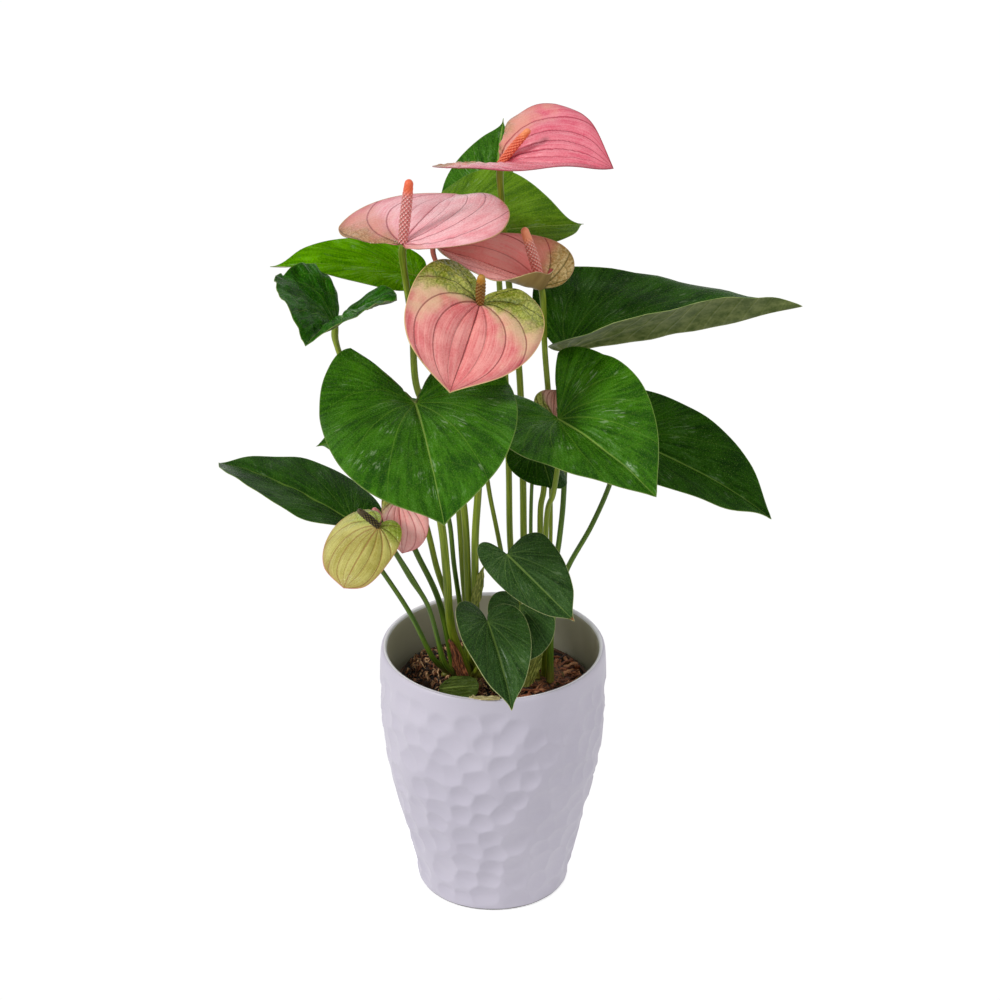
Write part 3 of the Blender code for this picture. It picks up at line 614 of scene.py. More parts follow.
def blade_points(spec, a, b):
    """Places on the blade for every a along the midrib and b across it, from -1 to 1 at the shoulders.
    The midrib is an arc; each half is an arc across it; the last quarter narrows to a drawn-out tip."""
    base, length, along, normal, halves = blade_frame(spec)
    late = np.clip((a - 0.75) / 0.25, 0, 1)
    b = b * (1 - spec.get("acumen", 0.35) * late * late)
    arch = math.radians(spec["arch"])
    forward, rise = arc(a, arch)
    rise = rise + math.tan(math.radians(spec.get("back", 0))) * np.maximum(-a, 0)
    midrib = base + length * (forward[..., None] * along + rise[..., None] * normal)
    lean = (arch * (0.5 - a))[..., None]
    sides = []
    for sign, half, twist in zip((-1, 1), halves, spec.get("twist", (0, 0))):
        width = np.linalg.norm(half)
        across = half / width
        up = unit(np.cross(along, across) * sign)
        out, lift = arc(np.abs(b), math.radians(spec.get("curl", 20)))
        roll = (math.radians(twist) * a)[..., None]
        e = np.cos(roll) * across + np.sin(roll) * np.cross(along, across)
        n = np.cos(roll) * up + np.sin(roll) * np.cross(along, up)
        n = n * np.cos(lean) - np.sin(lean) * along
        sides.append(midrib + width * (out[..., None] * e + lift[..., None] * n))
    return np.where((b < 0)[..., None], sides[0], sides[1])


def vertex_normals(points, faces):
    """Unit normals of the vertices, each the sum of its faces' normals."""
    total = np.zeros_like(points)
    for group in faces:
        corners = points[group]
        across = np.cross(corners[:, 2] - corners[:, 0], corners[:, -1] - corners[:, 1])
        for k in range(group.shape[1]):
            np.add.at(total, group[:, k], across)
    return unit(total)


def blade(name, spec, detail, thickness, relief, finishes, slot, replaced):
    """Closed heart-shaped sheet. Columns fan out from the joint and rows run round it: the upper face is
    the blade surface raised by relief(spec, x, y, reach), the lower face lies under it, and a strip of
    its own finish joins them at the edge. UV map "flat" is the millimetre place in the flat blade over
    200 plus a half, and "reach" is how far out a point lies, 0 at the joint and 1 at the edge."""
    tapers = spec.get("taper", (0.52, 0.52))
    notches = spec.get("inner", (None, None))
    left, right = (half_outline(detail, spec["lobes"][k], tapers[k], spec.get("notch", 0.0),
                                spec.get("shoulder", SHOULDER), notches[k]) for k in (0, 1))
    outline = np.vstack([left * (1, -1), [(1.0, 0.0)], right[::-1]])
    columns = len(outline)
    reach = np.concatenate([np.linspace(0, 0.93, detail + 3)[1:], [0.955, 0.975, 0.99, 1.0]])
    rows = len(reach)
    a, b = reach[:, None] * outline[:, 0], reach[:, None] * outline[:, 1]
    _, length, _, _, halves = blade_frame(spec)
    flat_x = np.append(a * length, 0.0)
    flat_y = np.append(b * np.where(b < 0, np.linalg.norm(halves[0]), np.linalg.norm(halves[1])), 0.0)
    out = np.append(np.repeat(reach, columns), 0.0)
    sheet = np.vstack([blade_points(spec, a, b).reshape(-1, 3), blade_points(spec, np.zeros(1), np.zeros(1))])
    pole, count = rows * columns, len(sheet)
    quads = grid(rows, columns, closed=False)[:, [0, 3, 2, 1]]
    fan = np.stack([np.full(columns - 1, pole), np.arange(columns - 1), np.arange(1, columns)], axis=1)
    top = sheet + vertex_normals(sheet, [quads, fan]) * relief(spec, flat_x, flat_y, out)[:, None]
    under = top - vertex_normals(top, [quads, fan]) * (thickness * (1 - 0.55 * out**6))[:, None]
    edge = np.concatenate([[pole], np.arange(rows) * columns, (rows - 1) * columns + np.arange(1, columns),
                           (np.arange(rows - 1) * columns + columns - 1)[::-1]])
    after = np.roll(edge, -1)
    strip = np.stack([edge + count, after + count, after, edge], axis=1)
    faces = [quads, fan, quads[:, ::-1] + count, fan[:, ::-1] + count, strip]
    half = len(quads) + len(fan)
    corners = np.concatenate([f.ravel() for f in faces]) % count
    flat = np.stack([flat_x, flat_y], axis=1)[corners] / 200 + 0.5
    far = np.stack([out, np.append(np.where(b < 0, 0.0, 1.0), 0.5)], axis=1)[corners]
    piece(name, np.vstack([top, under]), faces, finishes, replaced,
          np.repeat([0, 1, 2], [half, half, len(strip)]), {"flat": flat, "reach": far},
          np.isin(np.arange(2 * count) % count, edge))


def leaf_relief(spec, x, y, out):
    """Panels between the veins swell a little, the midrib lies in a shallow groove, and the edge waves. A
    vein is the line on which the angle from the midrib, plus a sweep that grows outwards, stays the same."""
    seed = spec["seed"]
    angle = np.arctan2(np.abs(y), x)
    swept = angle + LEAF_SWEEP * out**1.5 * np.sin(angle)
    phase = np.interp(swept, LEAF_VEINS + (math.pi + 0.4,), np.arange(len(LEAF_VEINS) + 1))
    size = np.hypot(x, y)
    clear = np.minimum(size / 20, 1)
    swell = np.abs(np.sin(math.pi * phase)) ** 0.8 * np.minimum(size / 14, 1) * (1 - out**6)
    groove = -0.5 * np.exp(-((y / 2.2) ** 2)) * (x > 0) * np.minimum(size / 10, 1)
    slack = 0.5 * ripples(x, y, 30.0, seed) * clear
    wave = spec.get("wave", 0.6) * out**3 * np.sin(size / 7 + y / 9 + seed)
    crumple = spec.get("crumple", 0.0) * ripples(x, y, 13.0, seed + 7) * clear
    return 0.55 * swell + groove + slack + wave + crumple


def blade_places(w):
    """Place on the flat blade as UV and as x and y in millimetres, distance and angle from the joint, how
    far out it is (0 at the joint, 1 at the edge), and its side (0 left, 1 right)."""
    flat = w.node("UVMap", {"uv_map": "flat"})
    x = (part_of(flat, "X") - 0.5) * 200
    y = (part_of(flat, "Y") - 0.5) * 200
    reach = w.node("UVMap", {"uv_map": "reach"})
    size = (x * x + y * y + 0.01) ** 0.5
    angle = w.maths("ARCTAN2", abs(y), x)
    return flat, x, y, size, angle, part_of(reach, "X"), part_of(reach, "Y")


def midrib_line(x, y, width, outer=1.5, inner=0.6):
    """1 along the midrib and 0 beyond `outer` widths from it."""
    return (abs(y) / width).step(outer, inner) * x.step(-1.0, 0.5)


def vein_lines(w, places, veins, sweep, width):
    """1 on the veins and 0 off them. The lines thin towards the edge."""
    _, x, y, size, angle, out, _ = places
    swept = angle + out ** 1.5 * abs(y) / size * sweep
    thin = (1.15 - out * 0.75) * width
    total = midrib_line(x, y, thin)
    for k, start in enumerate(veins[1:]):
        gap = abs(swept - start) * size / thin
        total = w.maths("MAXIMUM", total, gap.step(1.5, 0.6) * (0.62 - 0.10 * k))
    return total


def cross_ribs(w, x, y, low):
    """1 on the fine ribs that slant across the panels. They fade in from `low` spacings off their middles."""
    ribs = (x - abs(y) * 0.75) / RIB_SPACING
    return abs(ribs - w.maths("FLOOR", ribs) - 0.5).step(low, 0.5)


def leaf_look(w, deep, light, vein, specular, rim=rgb(104, 134, 56), gloss=0.0, spine=1.0, dry_from=None):
    """Glossy leaf. gloss is how thick the wax lies in its patches, and how strongly fine pale streaks of
    painted sheen run out from the joint. spine is how pale the midrib is, and dry_from is the place in
    millimetres along the midrib past which the tip has dried. Fine pale specks all over are painted glints."""
    places = blade_places(w)
    flat, x, y, size, angle, out, side = places
    lines = vein_lines(w, places, LEAF_VEINS, LEAF_SWEEP, 0.40)
    ribs = cross_ribs(w, x, y, 0.40) * out.step(0.05, 0.3) * out.step(0.97, 0.8)
    mottle = noise(flat, 9.0, 5.0, 0.65)
    grain = noise(flat, 190.0, 3.0, 0.7)
    drops = w.node("TexVoronoi", None, {"Vector": flat, "Scale": 150.0})
    net = w.node("TexVoronoi", {"feature": "DISTANCE_TO_EDGE"}, {"Vector": flat, "Scale": 85.0})
    streak = noise(w.node("CombineXYZ", None, {0: angle * 9.0, 1: size / 60, 2: side * 7}), 2.2, 4.0, 0.6)
    fine = noise(w.node("CombineXYZ", None, {0: angle * 30.0, 1: size / 9, 2: side * 7}), 1.0, 2.0, 0.6)
    tone = (mottle * 0.4 + streak * 0.5 + grain * 0.35 - 0.12).step(0.36, 0.64).mix(deep, light)
    # Fine pale specks: painted glints of the waxy gloss, over the leaf's own flecks.
    tone = (noise(flat, 330.0).step(0.60, 0.74) * 0.55).mix(tone, rgb(140, 172, 78))
    tone = (ribs * 0.07 + net.step(0.06, 0.0) * 0.07).mix(tone, vein)
    tone = (lines * 0.6).mix(tone, vein)
    midrib = midrib_line(x, y, 0.62 - out * 0.34, 1.4, 0.5)
    tone = (midrib * (0.62 - out * 0.3) * spine).mix(tone, rgb(150, 178, 84))
    # Pale streaks out from the joint, where the wax lies thick: painted sheen.
    sheen_zone = noise(flat, 11.0, 1.0).step(0.50, 0.62)
    painted_sheen = fine.step(0.55, 0.68) * sheen_zone * out.step(0.08, 0.2) * out.step(0.96, 0.85)
    tone = (painted_sheen * gloss * 0.65).mix(tone, rgb(166, 192, 144))
    if dry_from:
        tone = (x + mottle * 6).step(dry_from, dry_from + 3).mix(tone, rgb(158, 84, 66))
    height = (grain * 1.1 + drops * 0.7 + streak * 0.8 - net.step(0.10, 0.0) * 0.3 + lines * 0.6
              - ribs * 0.15)
    wax = streak.step(0.50, 0.66) * mottle.step(0.44, 0.60) * grain.step(0.34, 0.62) * gloss
    return {"Base_Color": out.step(0.988, 0.998).mix(tone, rim), "Roughness": 0.14 + grain * 0.24,
            "Specular_IOR_Level": specular, "Coat_Weight": wax, "Coat_Roughness": 0.28,
            "Normal": bump(height, 0.0005, 0.8)}


def under_look(w):
    """Dull olive underside with the veins standing out as paler cords."""
    places = blade_places(w)
    flat, x, y, *_ = places
    lines = vein_lines(w, places, LEAF_VEINS, LEAF_SWEEP, 0.8)
    ribs = cross_ribs(w, x, y, 0.38)
    mottle = noise(flat, 30.0, 5.0, 0.7)
    tone = mottle.step(0.34, 0.66).mix(rgb(76, 92, 40), rgb(118, 128, 74))
    return {"Base_Color": (lines * 0.6 + ribs * 0.14).mix(tone, rgb(150, 160, 92)), "Roughness": 0.5,
            "Specular_IOR_Level": 0.12, "Normal": bump(lines + ribs * 0.6 + mottle * 0.3, 0.0006, 0.7)}


def edge_look(w, dark, light, scale=90.0, roughness=0.4, specular=0.5):
    tone = noise(w.node("TexCoord", out="Object"), scale)
    return {"Base_Color": tone.step(0.35, 0.65).mix(dark, light), "Roughness": roughness,
            "Specular_IOR_Level": specular}


leaf_under = finish_of("leaf_under", under_look)
leaf_edge = finish_of("leaf_edge", edge_look, rgb(104, 128, 58), rgb(158, 172, 104), specular=0.12)
young_edge = finish_of("leaf_edge_young", edge_look, rgb(150, 164, 84), rgb(206, 204, 140))
YOUNG_LOOK = dict(rim=rgb(184, 190, 130), gloss=0.35, spine=0.5)
LEAF_TONES = {  # finish's name, deep, light and vein greens, specular level, rest of the look
    "deep": ("leaf_upper", (22, 68, 0), (64, 122, 10), (124, 166, 56), 0.06, dict(gloss=0.7)),
    "bright": ("leaf_upper_bright", (60, 120, 0), (112, 180, 0), (146, 180, 46), 0.0, dict(gloss=0.5)),
    "sunny": ("leaf_upper_sunny", (58, 96, 2), (106, 146, 22), (140, 170, 64), 0.03, dict(gloss=0.4)),
    "dark": ("leaf_upper_dark", (12, 48, 0), (42, 88, 4), (88, 126, 40), 0.03, dict(gloss=0.25, spine=0.55)),
    "lacquer": ("leaf_upper_lacquer", (10, 52, 0), (40, 104, 0), (124, 166, 60), 0.02, dict(gloss=0.7)),
    "young": ("leaf_upper_young", (20, 50, 6), (54, 90, 34), (104, 136, 66), 0.1, YOUNG_LOOK),
    "dry_tipped": ("leaf_upper_dry_tip", (20, 50, 6), (54, 90, 34), (104, 136, 66), 0.1,
                   dict(YOUNG_LOOK, dry_from=55)),
}
LEAF_FINISHES = {tone: finish_of(name, leaf_look, *(rgb(*green) for green in greens), specular, **more)
                 for tone, (name, *greens, specular, more) in LEAF_TONES.items()}
LEAVES = {
    "front_left": dict(
        base=(-42, -45, 330), tip=(-25, -141, 305), left=(-92, -73, 327), right=(12, -50, 334), seed=1,
        lobes=(0.39, 0.36), curl=30, arch=30, back=30, notch=0.24, taper=(0.80, 0.60), detail=32,
        inner=([(-0.12, 0.17), (-0.27, 0.37), (-0.39, 0.56)], [(-0.11, 0.17), (-0.25, 0.37), (-0.36, 0.57)])),
    "front_right": dict(
        base=(36, -32, 314), tip=(88, -90, 296), left=(6, -67, 314), right=(69, -13, 339), seed=2,
        lobes=(0.42, 0.30), arch=30, back=22, detail=30,
        inner=(None, [(-0.10, 0.18), (-0.24, 0.43), (-0.30, 0.62)])),
    "right": dict(
        base=(71, 15, 280), tip=(157, -15, 244), left=(79, -18, 270), right=(97, 38, 293), seed=3,
        lobes=(0.28, 0.28), arch=30, acumen=0.6, tone="dark"),
    "far_right": dict(
        base=(41, 20, 332), tip=(172, 20, 360), left=(54, -11, 356), right=(45, 66, 368), seed=4,
        lobes=(0.06, 0.08), arch=-8, twist=(-28, -48), acumen=0.35, wave=1.0, tone="dark"),
    "top": dict(
        base=(1, 104, 377), tip=(6, 164, 415), left=(12, 105, 390), right=(-30, 110, 384), seed=5,
        lobes=(0.22, 0.22), arch=20, acumen=0.9, taper=(0.30, -0.04), shoulder=0.05),
    "top_right": dict(
        base=(-34, 70, 377), tip=(51, 60, 392), left=(10, 46, 380), right=(-5, 112, 402), seed=6,
        lobes=(0.04, 0.02), curl=10, arch=12, acumen=0.6, taper=(0.70, 0.0), shoulder=0.28, tone="sunny"),
    "back_left": dict(
        base=(-45, 65, 358), tip=(-125, 45, 372), left=(-64, 99, 363), right=(-62, 21, 368), seed=7,
        lobes=(0.12, 0.12), arch=22, acumen=0.9, taper=(0.12, 0.25), tone="bright"),
    "curled_left": dict(
        base=(-86, -15, 363), tip=(-99, -75, 378), left=(-117, -9, 389), right=(-53, -24, 381), seed=8,
        lobes=(0.42, 0.28), arch=25, back=36, tone="lacquer", crumple=1.1),
    "low_left": dict(
        base=(-79, -15, 242), tip=(-159, 55, 245), left=(-83, 22, 250), right=(-112, -22, 249), seed=9,
        lobes=(0.18, 0.05), curl=18, arch=20, taper=(0.12, 0.70), tone="dark"),
    "young_right": dict(
        base=(8, -45, 237), tip=(45, -80, 214), left=(3, -56, 224), right=(30, -43, 247), seed=10,
        lobes=(0.34, 0.03), arch=25, acumen=0.95, taper=(0.50, 0.45), tone="dry_tipped", wave=0.2),
    "young_front": dict(
        base=(-3, -48, 196), tip=(11, -88, 162), left=(-19, -66, 199), right=(19, -50, 196), seed=11,
        lobes=(0.26, 0.14), arch=25, acumen=0.9, taper=(0.50, 0.32), tone="young", wave=0.2),
    "young_middle": dict(
        base=(15, -30, 196), tip=(16, -50, 170), left=(-3, -38, 197), right=(35, -38, 190), seed=12,
        lobes=(0.25, 0.08), arch=25, tone="young", wave=0.2, detail=16),
    "behind_left": dict(
        base=(-53, 30, 282), tip=(-101, 30, 267), left=(-62, 54, 284), right=(-67, 8, 270), seed=13,
        lobes=(0.30, 0.30), arch=15, acumen=0.95, taper=(0.30, 0.05), detail=16),
    "inner_right": dict(
        base=(25, 5, 280), tip=(33, -14, 262), left=(8, -5, 273), right=(40, 4, 262), seed=14,
        lobes=(0.20, 0.20), arch=15, acumen=0.8, taper=(0.40, 0.30), tone="dark", detail=16),
}
for name, spec in LEAVES.items():
    edge = young_edge if name.startswith("young") else leaf_edge
    blade("blade_" + name, spec, spec.get("detail", 24), LEAF_THICKNESS, leaf_relief,
          [LEAF_FINISHES[spec.get("tone", "deep")], leaf_under, edge], "leaf", ["leaf_" + name])

# ================================================================ stalks
# Round fleshy stalks, smooth and olive green with fine lengthwise streaks. Each is thickest at its crown
# and has a short knuckle just under its blade.

STALK_SIDES = 18
STALK_SUNK = 0.5  # how far its foot goes into the bed or the crown
PETIOLE_GAP = 0.6  # from its end up to the blade's upper face
PEDUNCLE_GAP = 0.5


def smooth_path(points, steps):
    """Catmull-Rom curve through the points."""
    p = np.asarray(points, float)
    q = np.vstack([2 * p[0] - p[1], p, 2 * p[-1] - p[-2]])
    t = np.linspace(0, 1, steps, endpoint=False)[:, None]
    rows = [0.5 * (2 * b + (c - a) * t + (2 * a - 5 * b + 4 * c - d) * t**2 + (3 * b - a - 3 * c + d) * t**3)
            for a, b, c, d in zip(q, q[1:], q[2:], q[3:])]
    return np.vstack(rows + [p[-1:]])


def tube_rings(path, radius, sides):
    """Rings of the given radii about a path, square to it, each turned as little as can be from the last."""
    heading = unit(np.gradient(path, axis=0))
    side = np.empty_like(path)
    side[0] = unit(np.cross(heading[0], (0.31, 0.95, 0.05)))
    for k in range(1, len(path)):
        side[k] = unit(side[k - 1] - heading[k] * np.dot(side[k - 1], heading[k]))
    up = np.cross(heading, side)
    ring = np.arange(sides) / sides * math.tau
    return path[:, None] + radius[:, None, None] * (np.cos(ring)[:, None] * side[:, None]
                                                    + np.sin(ring)[:, None] * up[:, None])


def tube_uv(length, columns):
    """UV of a capped tube's corners: V is the place along it in tenths of a metre, U the place round it."""
    r, c = np.meshgrid(np.arange(len(length) - 1), np.arange(columns), indexing="ij")
    v = length / 100
    u0, u1 = c / columns, (c + 1) / columns
    quads = np.stack([u0, v[r], u1, v[r], u1, v[r + 1], u0, v[r + 1]], axis=-1).reshape(-1, 2)
    fans = np.repeat([[0.5, v[0]], [0.5, v[-1]]], columns * 3, axis=0)
    return np.concatenate([quads, fans])


def joint_normal(spec):
    """Upward normal of the blade where the stalk joins it."""
    _, _, along, normal, _ = blade_frame(spec)
    lean = math.radians(spec["arch"]) / 2
    return math.cos(lean) * normal - math.sin(lean) * along


def stalk(name, radius, points, foot_z, end, finish, replaced, knuckle=1.25):
    """Round stalk from foot_z through the points, of which the first is only its x and y, to end. It swells
    at its foot and, for the last few millimetres, by the factor knuckle."""
    path = smooth_path([(*points[0], foot_z), (*points[0], foot_z + 4)] + points[1:] + [end], 10)
    length = np.concatenate([[0], np.cumsum(np.linalg.norm(np.diff(path, axis=0), axis=1))])
    left = length[-1] - length
    bulge = (knuckle - 1) * np.exp(-(((left - 5) / 6) ** 2))
    base = 0.55 * np.exp(-length / 16)
    width = radius * (1 + bulge + base + 0.12 * (1 - length / length[-1]) - 0.06)
    rings = tube_rings(path, width, STALK_SIDES)
    points, faces = capped(rings, path[0], path[-1])
    piece(name, points, faces, [finish], replaced, layers={"run": tube_uv(length, STALK_SIDES)})


def scaled(vector, factors):
    return vector.node("VectorMath", {"operation": "MULTIPLY"}, {0: vector, 1: factors})


def stalk_look(w, light, dark, blush=None, blush_from=0.0, blush_to=0.0):
    """Streaked green, browner at the foot. Between two heights in metres the blush colour comes over it."""
    run = w.node("UVMap", {"uv_map": "run"})
    place = w.node("TexCoord", out="Object")
    streak = noise(scaled(run, (9.0, 1.4, 1.0)), 3.0, 4.0)
    fleck = noise(place, 900.0)
    tone = streak.step(0.35, 0.68).mix(dark, light)
    tone = (part_of(run, "Y").step(0.16, 0.0) * 0.7).mix(tone, rgb(122, 112, 48))
    if blush:
        tone = (part_of(place, "Z").step(blush_from, blush_to) * 0.85).mix(tone, blush)
    return {"Base_Color": tone, "Roughness": 0.34 + fleck * 0.2, "Specular_IOR_Level": 0.3,
            "Normal": bump(streak + fleck * 0.3, 0.0003, 0.5)}


green_stalk = finish_of("stalk_green", stalk_look, rgb(150, 166, 44), rgb(98, 122, 20))
dark_stalk = finish_of("stalk_dark", stalk_look, rgb(104, 134, 32), rgb(56, 88, 14))
blush_stalk = finish_of("stalk_blush", stalk_look, rgb(140, 156, 44), rgb(92, 114, 22),
                        rgb(204, 100, 98), 0.33, 0.352)
PETIOLES = {  # radius, then the foot's x and y and the points that the stalk passes through
    "low_left": (1.4, [(-28, 1), (-35, -18, 157), (-47, -22, 187), (-63, -20, 214), (-77, -16, 234)]),
    "curled_left": (1.7, [(-22, 11), (-25, 4, 176), (-32, 2, 203), (-41, 1, 242), (-63, -2, 298),
                          (-80, -9, 332), (-86, -13, 352)]),
    "front_left": (2.3, [(-16, 2), (-24, -14, 174), (-26, -22, 211), (-29, -30, 250), (-37, -38, 296),
                         (-41, -40, 320)]),
    "behind_left": (1.4, [(-15, 20), (-22, 13, 196), (-26, 17, 231), (-38, 25, 262), (-51, 30, 274)]),
    "back_left": (1.6, [(-9, 15), (-16, 9, 179), (-20, 20, 234), (-27, 38, 286), (-35, 53, 325),
                        (-43, 63, 348)]),
    "top_right": (1.3, [(17, 14), (3, 22, 213), (-3, 30, 244), (-8, 42, 285), (-12, 52, 320),
                        (-22, 61, 345), (-33, 68, 367)]),
    "top": (1.8, [(22, 20), (14, 26, 172), (10, 34, 202), (9, 46, 248), (7, 65, 298), (4, 85, 338),
                  (2, 101, 366)]),
    "inner_right": (1.1, [(27, 9), (22, 4, 203), (22, 2, 257), (25, 3, 270)]),
    "front_right": (1.6, [(30, 2), (30, -10, 236), (34, -16, 261), (37, -24, 289), (37, -29, 303)]),
    "far_right": (1.6, [(32.5, 8.5), (35.5, 9, 196), (38, 9.5, 219), (40, 12, 241), (41, 15, 272),
                        (42, 17, 302), (41, 19, 321)]),
    "right": (1.5, [(33, -5), (33.5, -4, 165), (36.5, -1, 183), (43, 4, 203), (56, 10, 226), (66, 12, 251),
                    (70, 13, 270)]),
    "young_right": (1.3, [(25, -2), (20, -14, 180), (16, -22, 203), (11, -35, 221), (9, -43, 229)]),
    "young_front": (1.3, [(-11, -5), (-6, -27, 159), (-4, -37, 178), (-3, -44, 188)]),
    "young_middle": (1.2, [(19, 4), (18, -8, 156), (17, -18, 174), (16, -28, 188)]),
}
STALK_FINISHES = {"low_left": dark_stalk, "right": dark_stalk, "behind_left": dark_stalk,
                  "top_right": blush_stalk, "inner_right": dark_stalk, "far_right": dark_stalk}
for name, (radius, points) in PETIOLES.items():
    foot_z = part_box("petiole_" + name)[0].z / MM - STALK_SUNK
    end = np.array(LEAVES[name]["base"]) - PETIOLE_GAP * joint_normal(LEAVES[name])
    stalk("stem_" + name, radius, points, foot_z, end, STALK_FINISHES.get(name, green_stalk),
          ["petiole_" + name])

# ================================================================ spathes
# Each flower's single waxy bract. The upper side is blistered between dark sunken veins and shines as if
# lacquered; pink, with lobes that turn green or olive as they age. The edge is a thin line of its own colour.

SPATHE_VEINS = (0.0, 0.55, 1.13, 1.57, 2.02, 2.5)  # angles at which the arcs leave the joint
SPATHE_THICKNESS = 0.9


def spathe_length(spec):
    return float(np.linalg.norm(np.subtract(spec["tip"], spec["base"])))


def spathe_relief(spec, x, y, out):
    """Panels bulge between sunken veins and carry cross wrinkles; the edge waves a little. Each vein is
    an arc of a circle through the joint and the tip, known by the angle at which it leaves the joint. A
    fold lifts the outer part of one half between two angles from the midrib."""
    veins = spec.get("veins", SPATHE_VEINS)
    angle = np.arctan2(np.abs(y), x)
    leaving = angle + np.arctan2(np.abs(y), spathe_length(spec) - x)
    phase = np.interp(leaving, veins + (math.pi + 0.3,), np.arange(len(veins) + 1))
    size = np.hypot(x, y)
    full = np.minimum(size / 12, 1) * (1 - out**8)
    panel = np.abs(np.sin(math.pi * phase)) ** 0.6
    wrinkle = np.sin(size / 1.9 + 3 * ripples(x, y, 22.0, spec["seed"])) * panel
    lobe = np.clip((angle - 1.2) / 0.6, 0, 1)
    blister = ripples(x, y, 7.0, spec["seed"] + 50) * (0.2 + 0.8 * lobe)
    wave = spec.get("wave", 0.8) * out**3 * np.sin(size / 5 + y / 8 + spec["seed"])
    total = spec.get("relief", 1.0) * full * (0.8 * panel + 0.14 * wrinkle + 0.45 * blister) + wave
    for sign, first, last, height in spec.get("folds", ()):
        share = np.clip((angle - first) / (last - first), 0, 1) * (sign * y > 0)
        lift = np.clip((out - 0.62) / 0.38, 0, 1)
        total = total + height * share * share * (3 - 2 * share) * lift**1.5
    return total


def spathe_look(w, length, veins, pink, pale, lobe, vein, rim, cream=None, left=None, right=None):
    """Blistered lacquered face. left and right give the angles from the midrib between which each half
    turns to the lobe colours, by way of the cream colour. lobe is its dark, light and vein colours."""
    flat, x, y, size, angle, out, side = blade_places(w)
    leaving = angle + w.maths("ARCTAN2", abs(y), length - x)
    thin = (1.1 - out * 0.5) * 0.42
    lines = midrib_line(x, y, thin)
    for k, start in enumerate(veins[1:]):
        gap = abs(leaving - start) * size * (1 - x / (length * 1.15)) / thin
        lines = w.maths("MAXIMUM", lines, gap.step(1.5, 0.6) * (0.55 if k == 0 else 0.9))
    cloud = noise(flat, 15.0, 3.0)
    grain = noise(flat, 150.0, 3.0, 0.65)
    mesh = w.node("TexVoronoi", {"feature": "DISTANCE_TO_EDGE"}, {"Vector": flat, "Scale": 34.0})
    radial = w.node("CombineXYZ", None, {0: leaving, 1: size / 100})
    streak = noise(scaled(radial, (26.0, 5.0, 1.0)), 1.0, 3.0)
    turned_angle = angle + (cloud - 0.5) * 1.2
    older, fading = x * 0, x * 0
    for limits, part in ((left, 1 - side), (right, side)):
        if limits:
            older = older + turned_angle.step(*limits) * part
            fading = fading + turned_angle.step(limits[0] - 0.45, limits[0] + 0.1) * part
    face = (cloud * 0.45 + streak * 0.55 + grain * 0.25 - 0.12).step(0.30, 0.68).mix(pink, pale)
    aged = (cloud * 0.4 + grain * 0.8 - 0.1).step(0.34, 0.72).mix(lobe[0], lobe[1])
    tone = older.mix((fading * 0.85).mix(face, cream or pale), aged)
    veins_tone = older.mix(vein, lobe[2])
    for cover in (mesh.step(0.05, 0.0) * older * 0.4, lines * 0.8, out.step(0.88, 0.99) * 0.35):
        tone = cover.mix(tone, veins_tone)
    height = grain * 0.3 + mesh.step(0.0, 0.14) * older * 0.6 - lines * 0.8 + streak * 0.5 + cloud * 0.3
    return {"Base_Color": out.step(0.984, 0.997).mix(tone, rim), "Roughness": 0.17 + grain * 0.2,
            "Specular_IOR_Level": 0.3, "Normal": bump(height, 0.0007, 0.6)}


def spathe_under(w, inner, outer):
    """Matte back that pales outwards, with soft veins."""
    places = blade_places(w)
    flat, out = places[0], places[5]
    lines = vein_lines(w, places, (0.0, 0.5, 1.0, 1.5, 2.0), 0.85, 0.5)
    cloud = noise(flat, 26.0, 4.0)
    tone = (cloud * 0.7 + out * 0.3).step(0.35, 0.75).mix(inner, outer)
    return {"Base_Color": (lines * 0.4).mix(tone, inner), "Roughness": 0.42, "Specular_IOR_Level": 0.3,
            "Normal": bump(lines + cloud * 0.5, 0.0006, 0.6)}


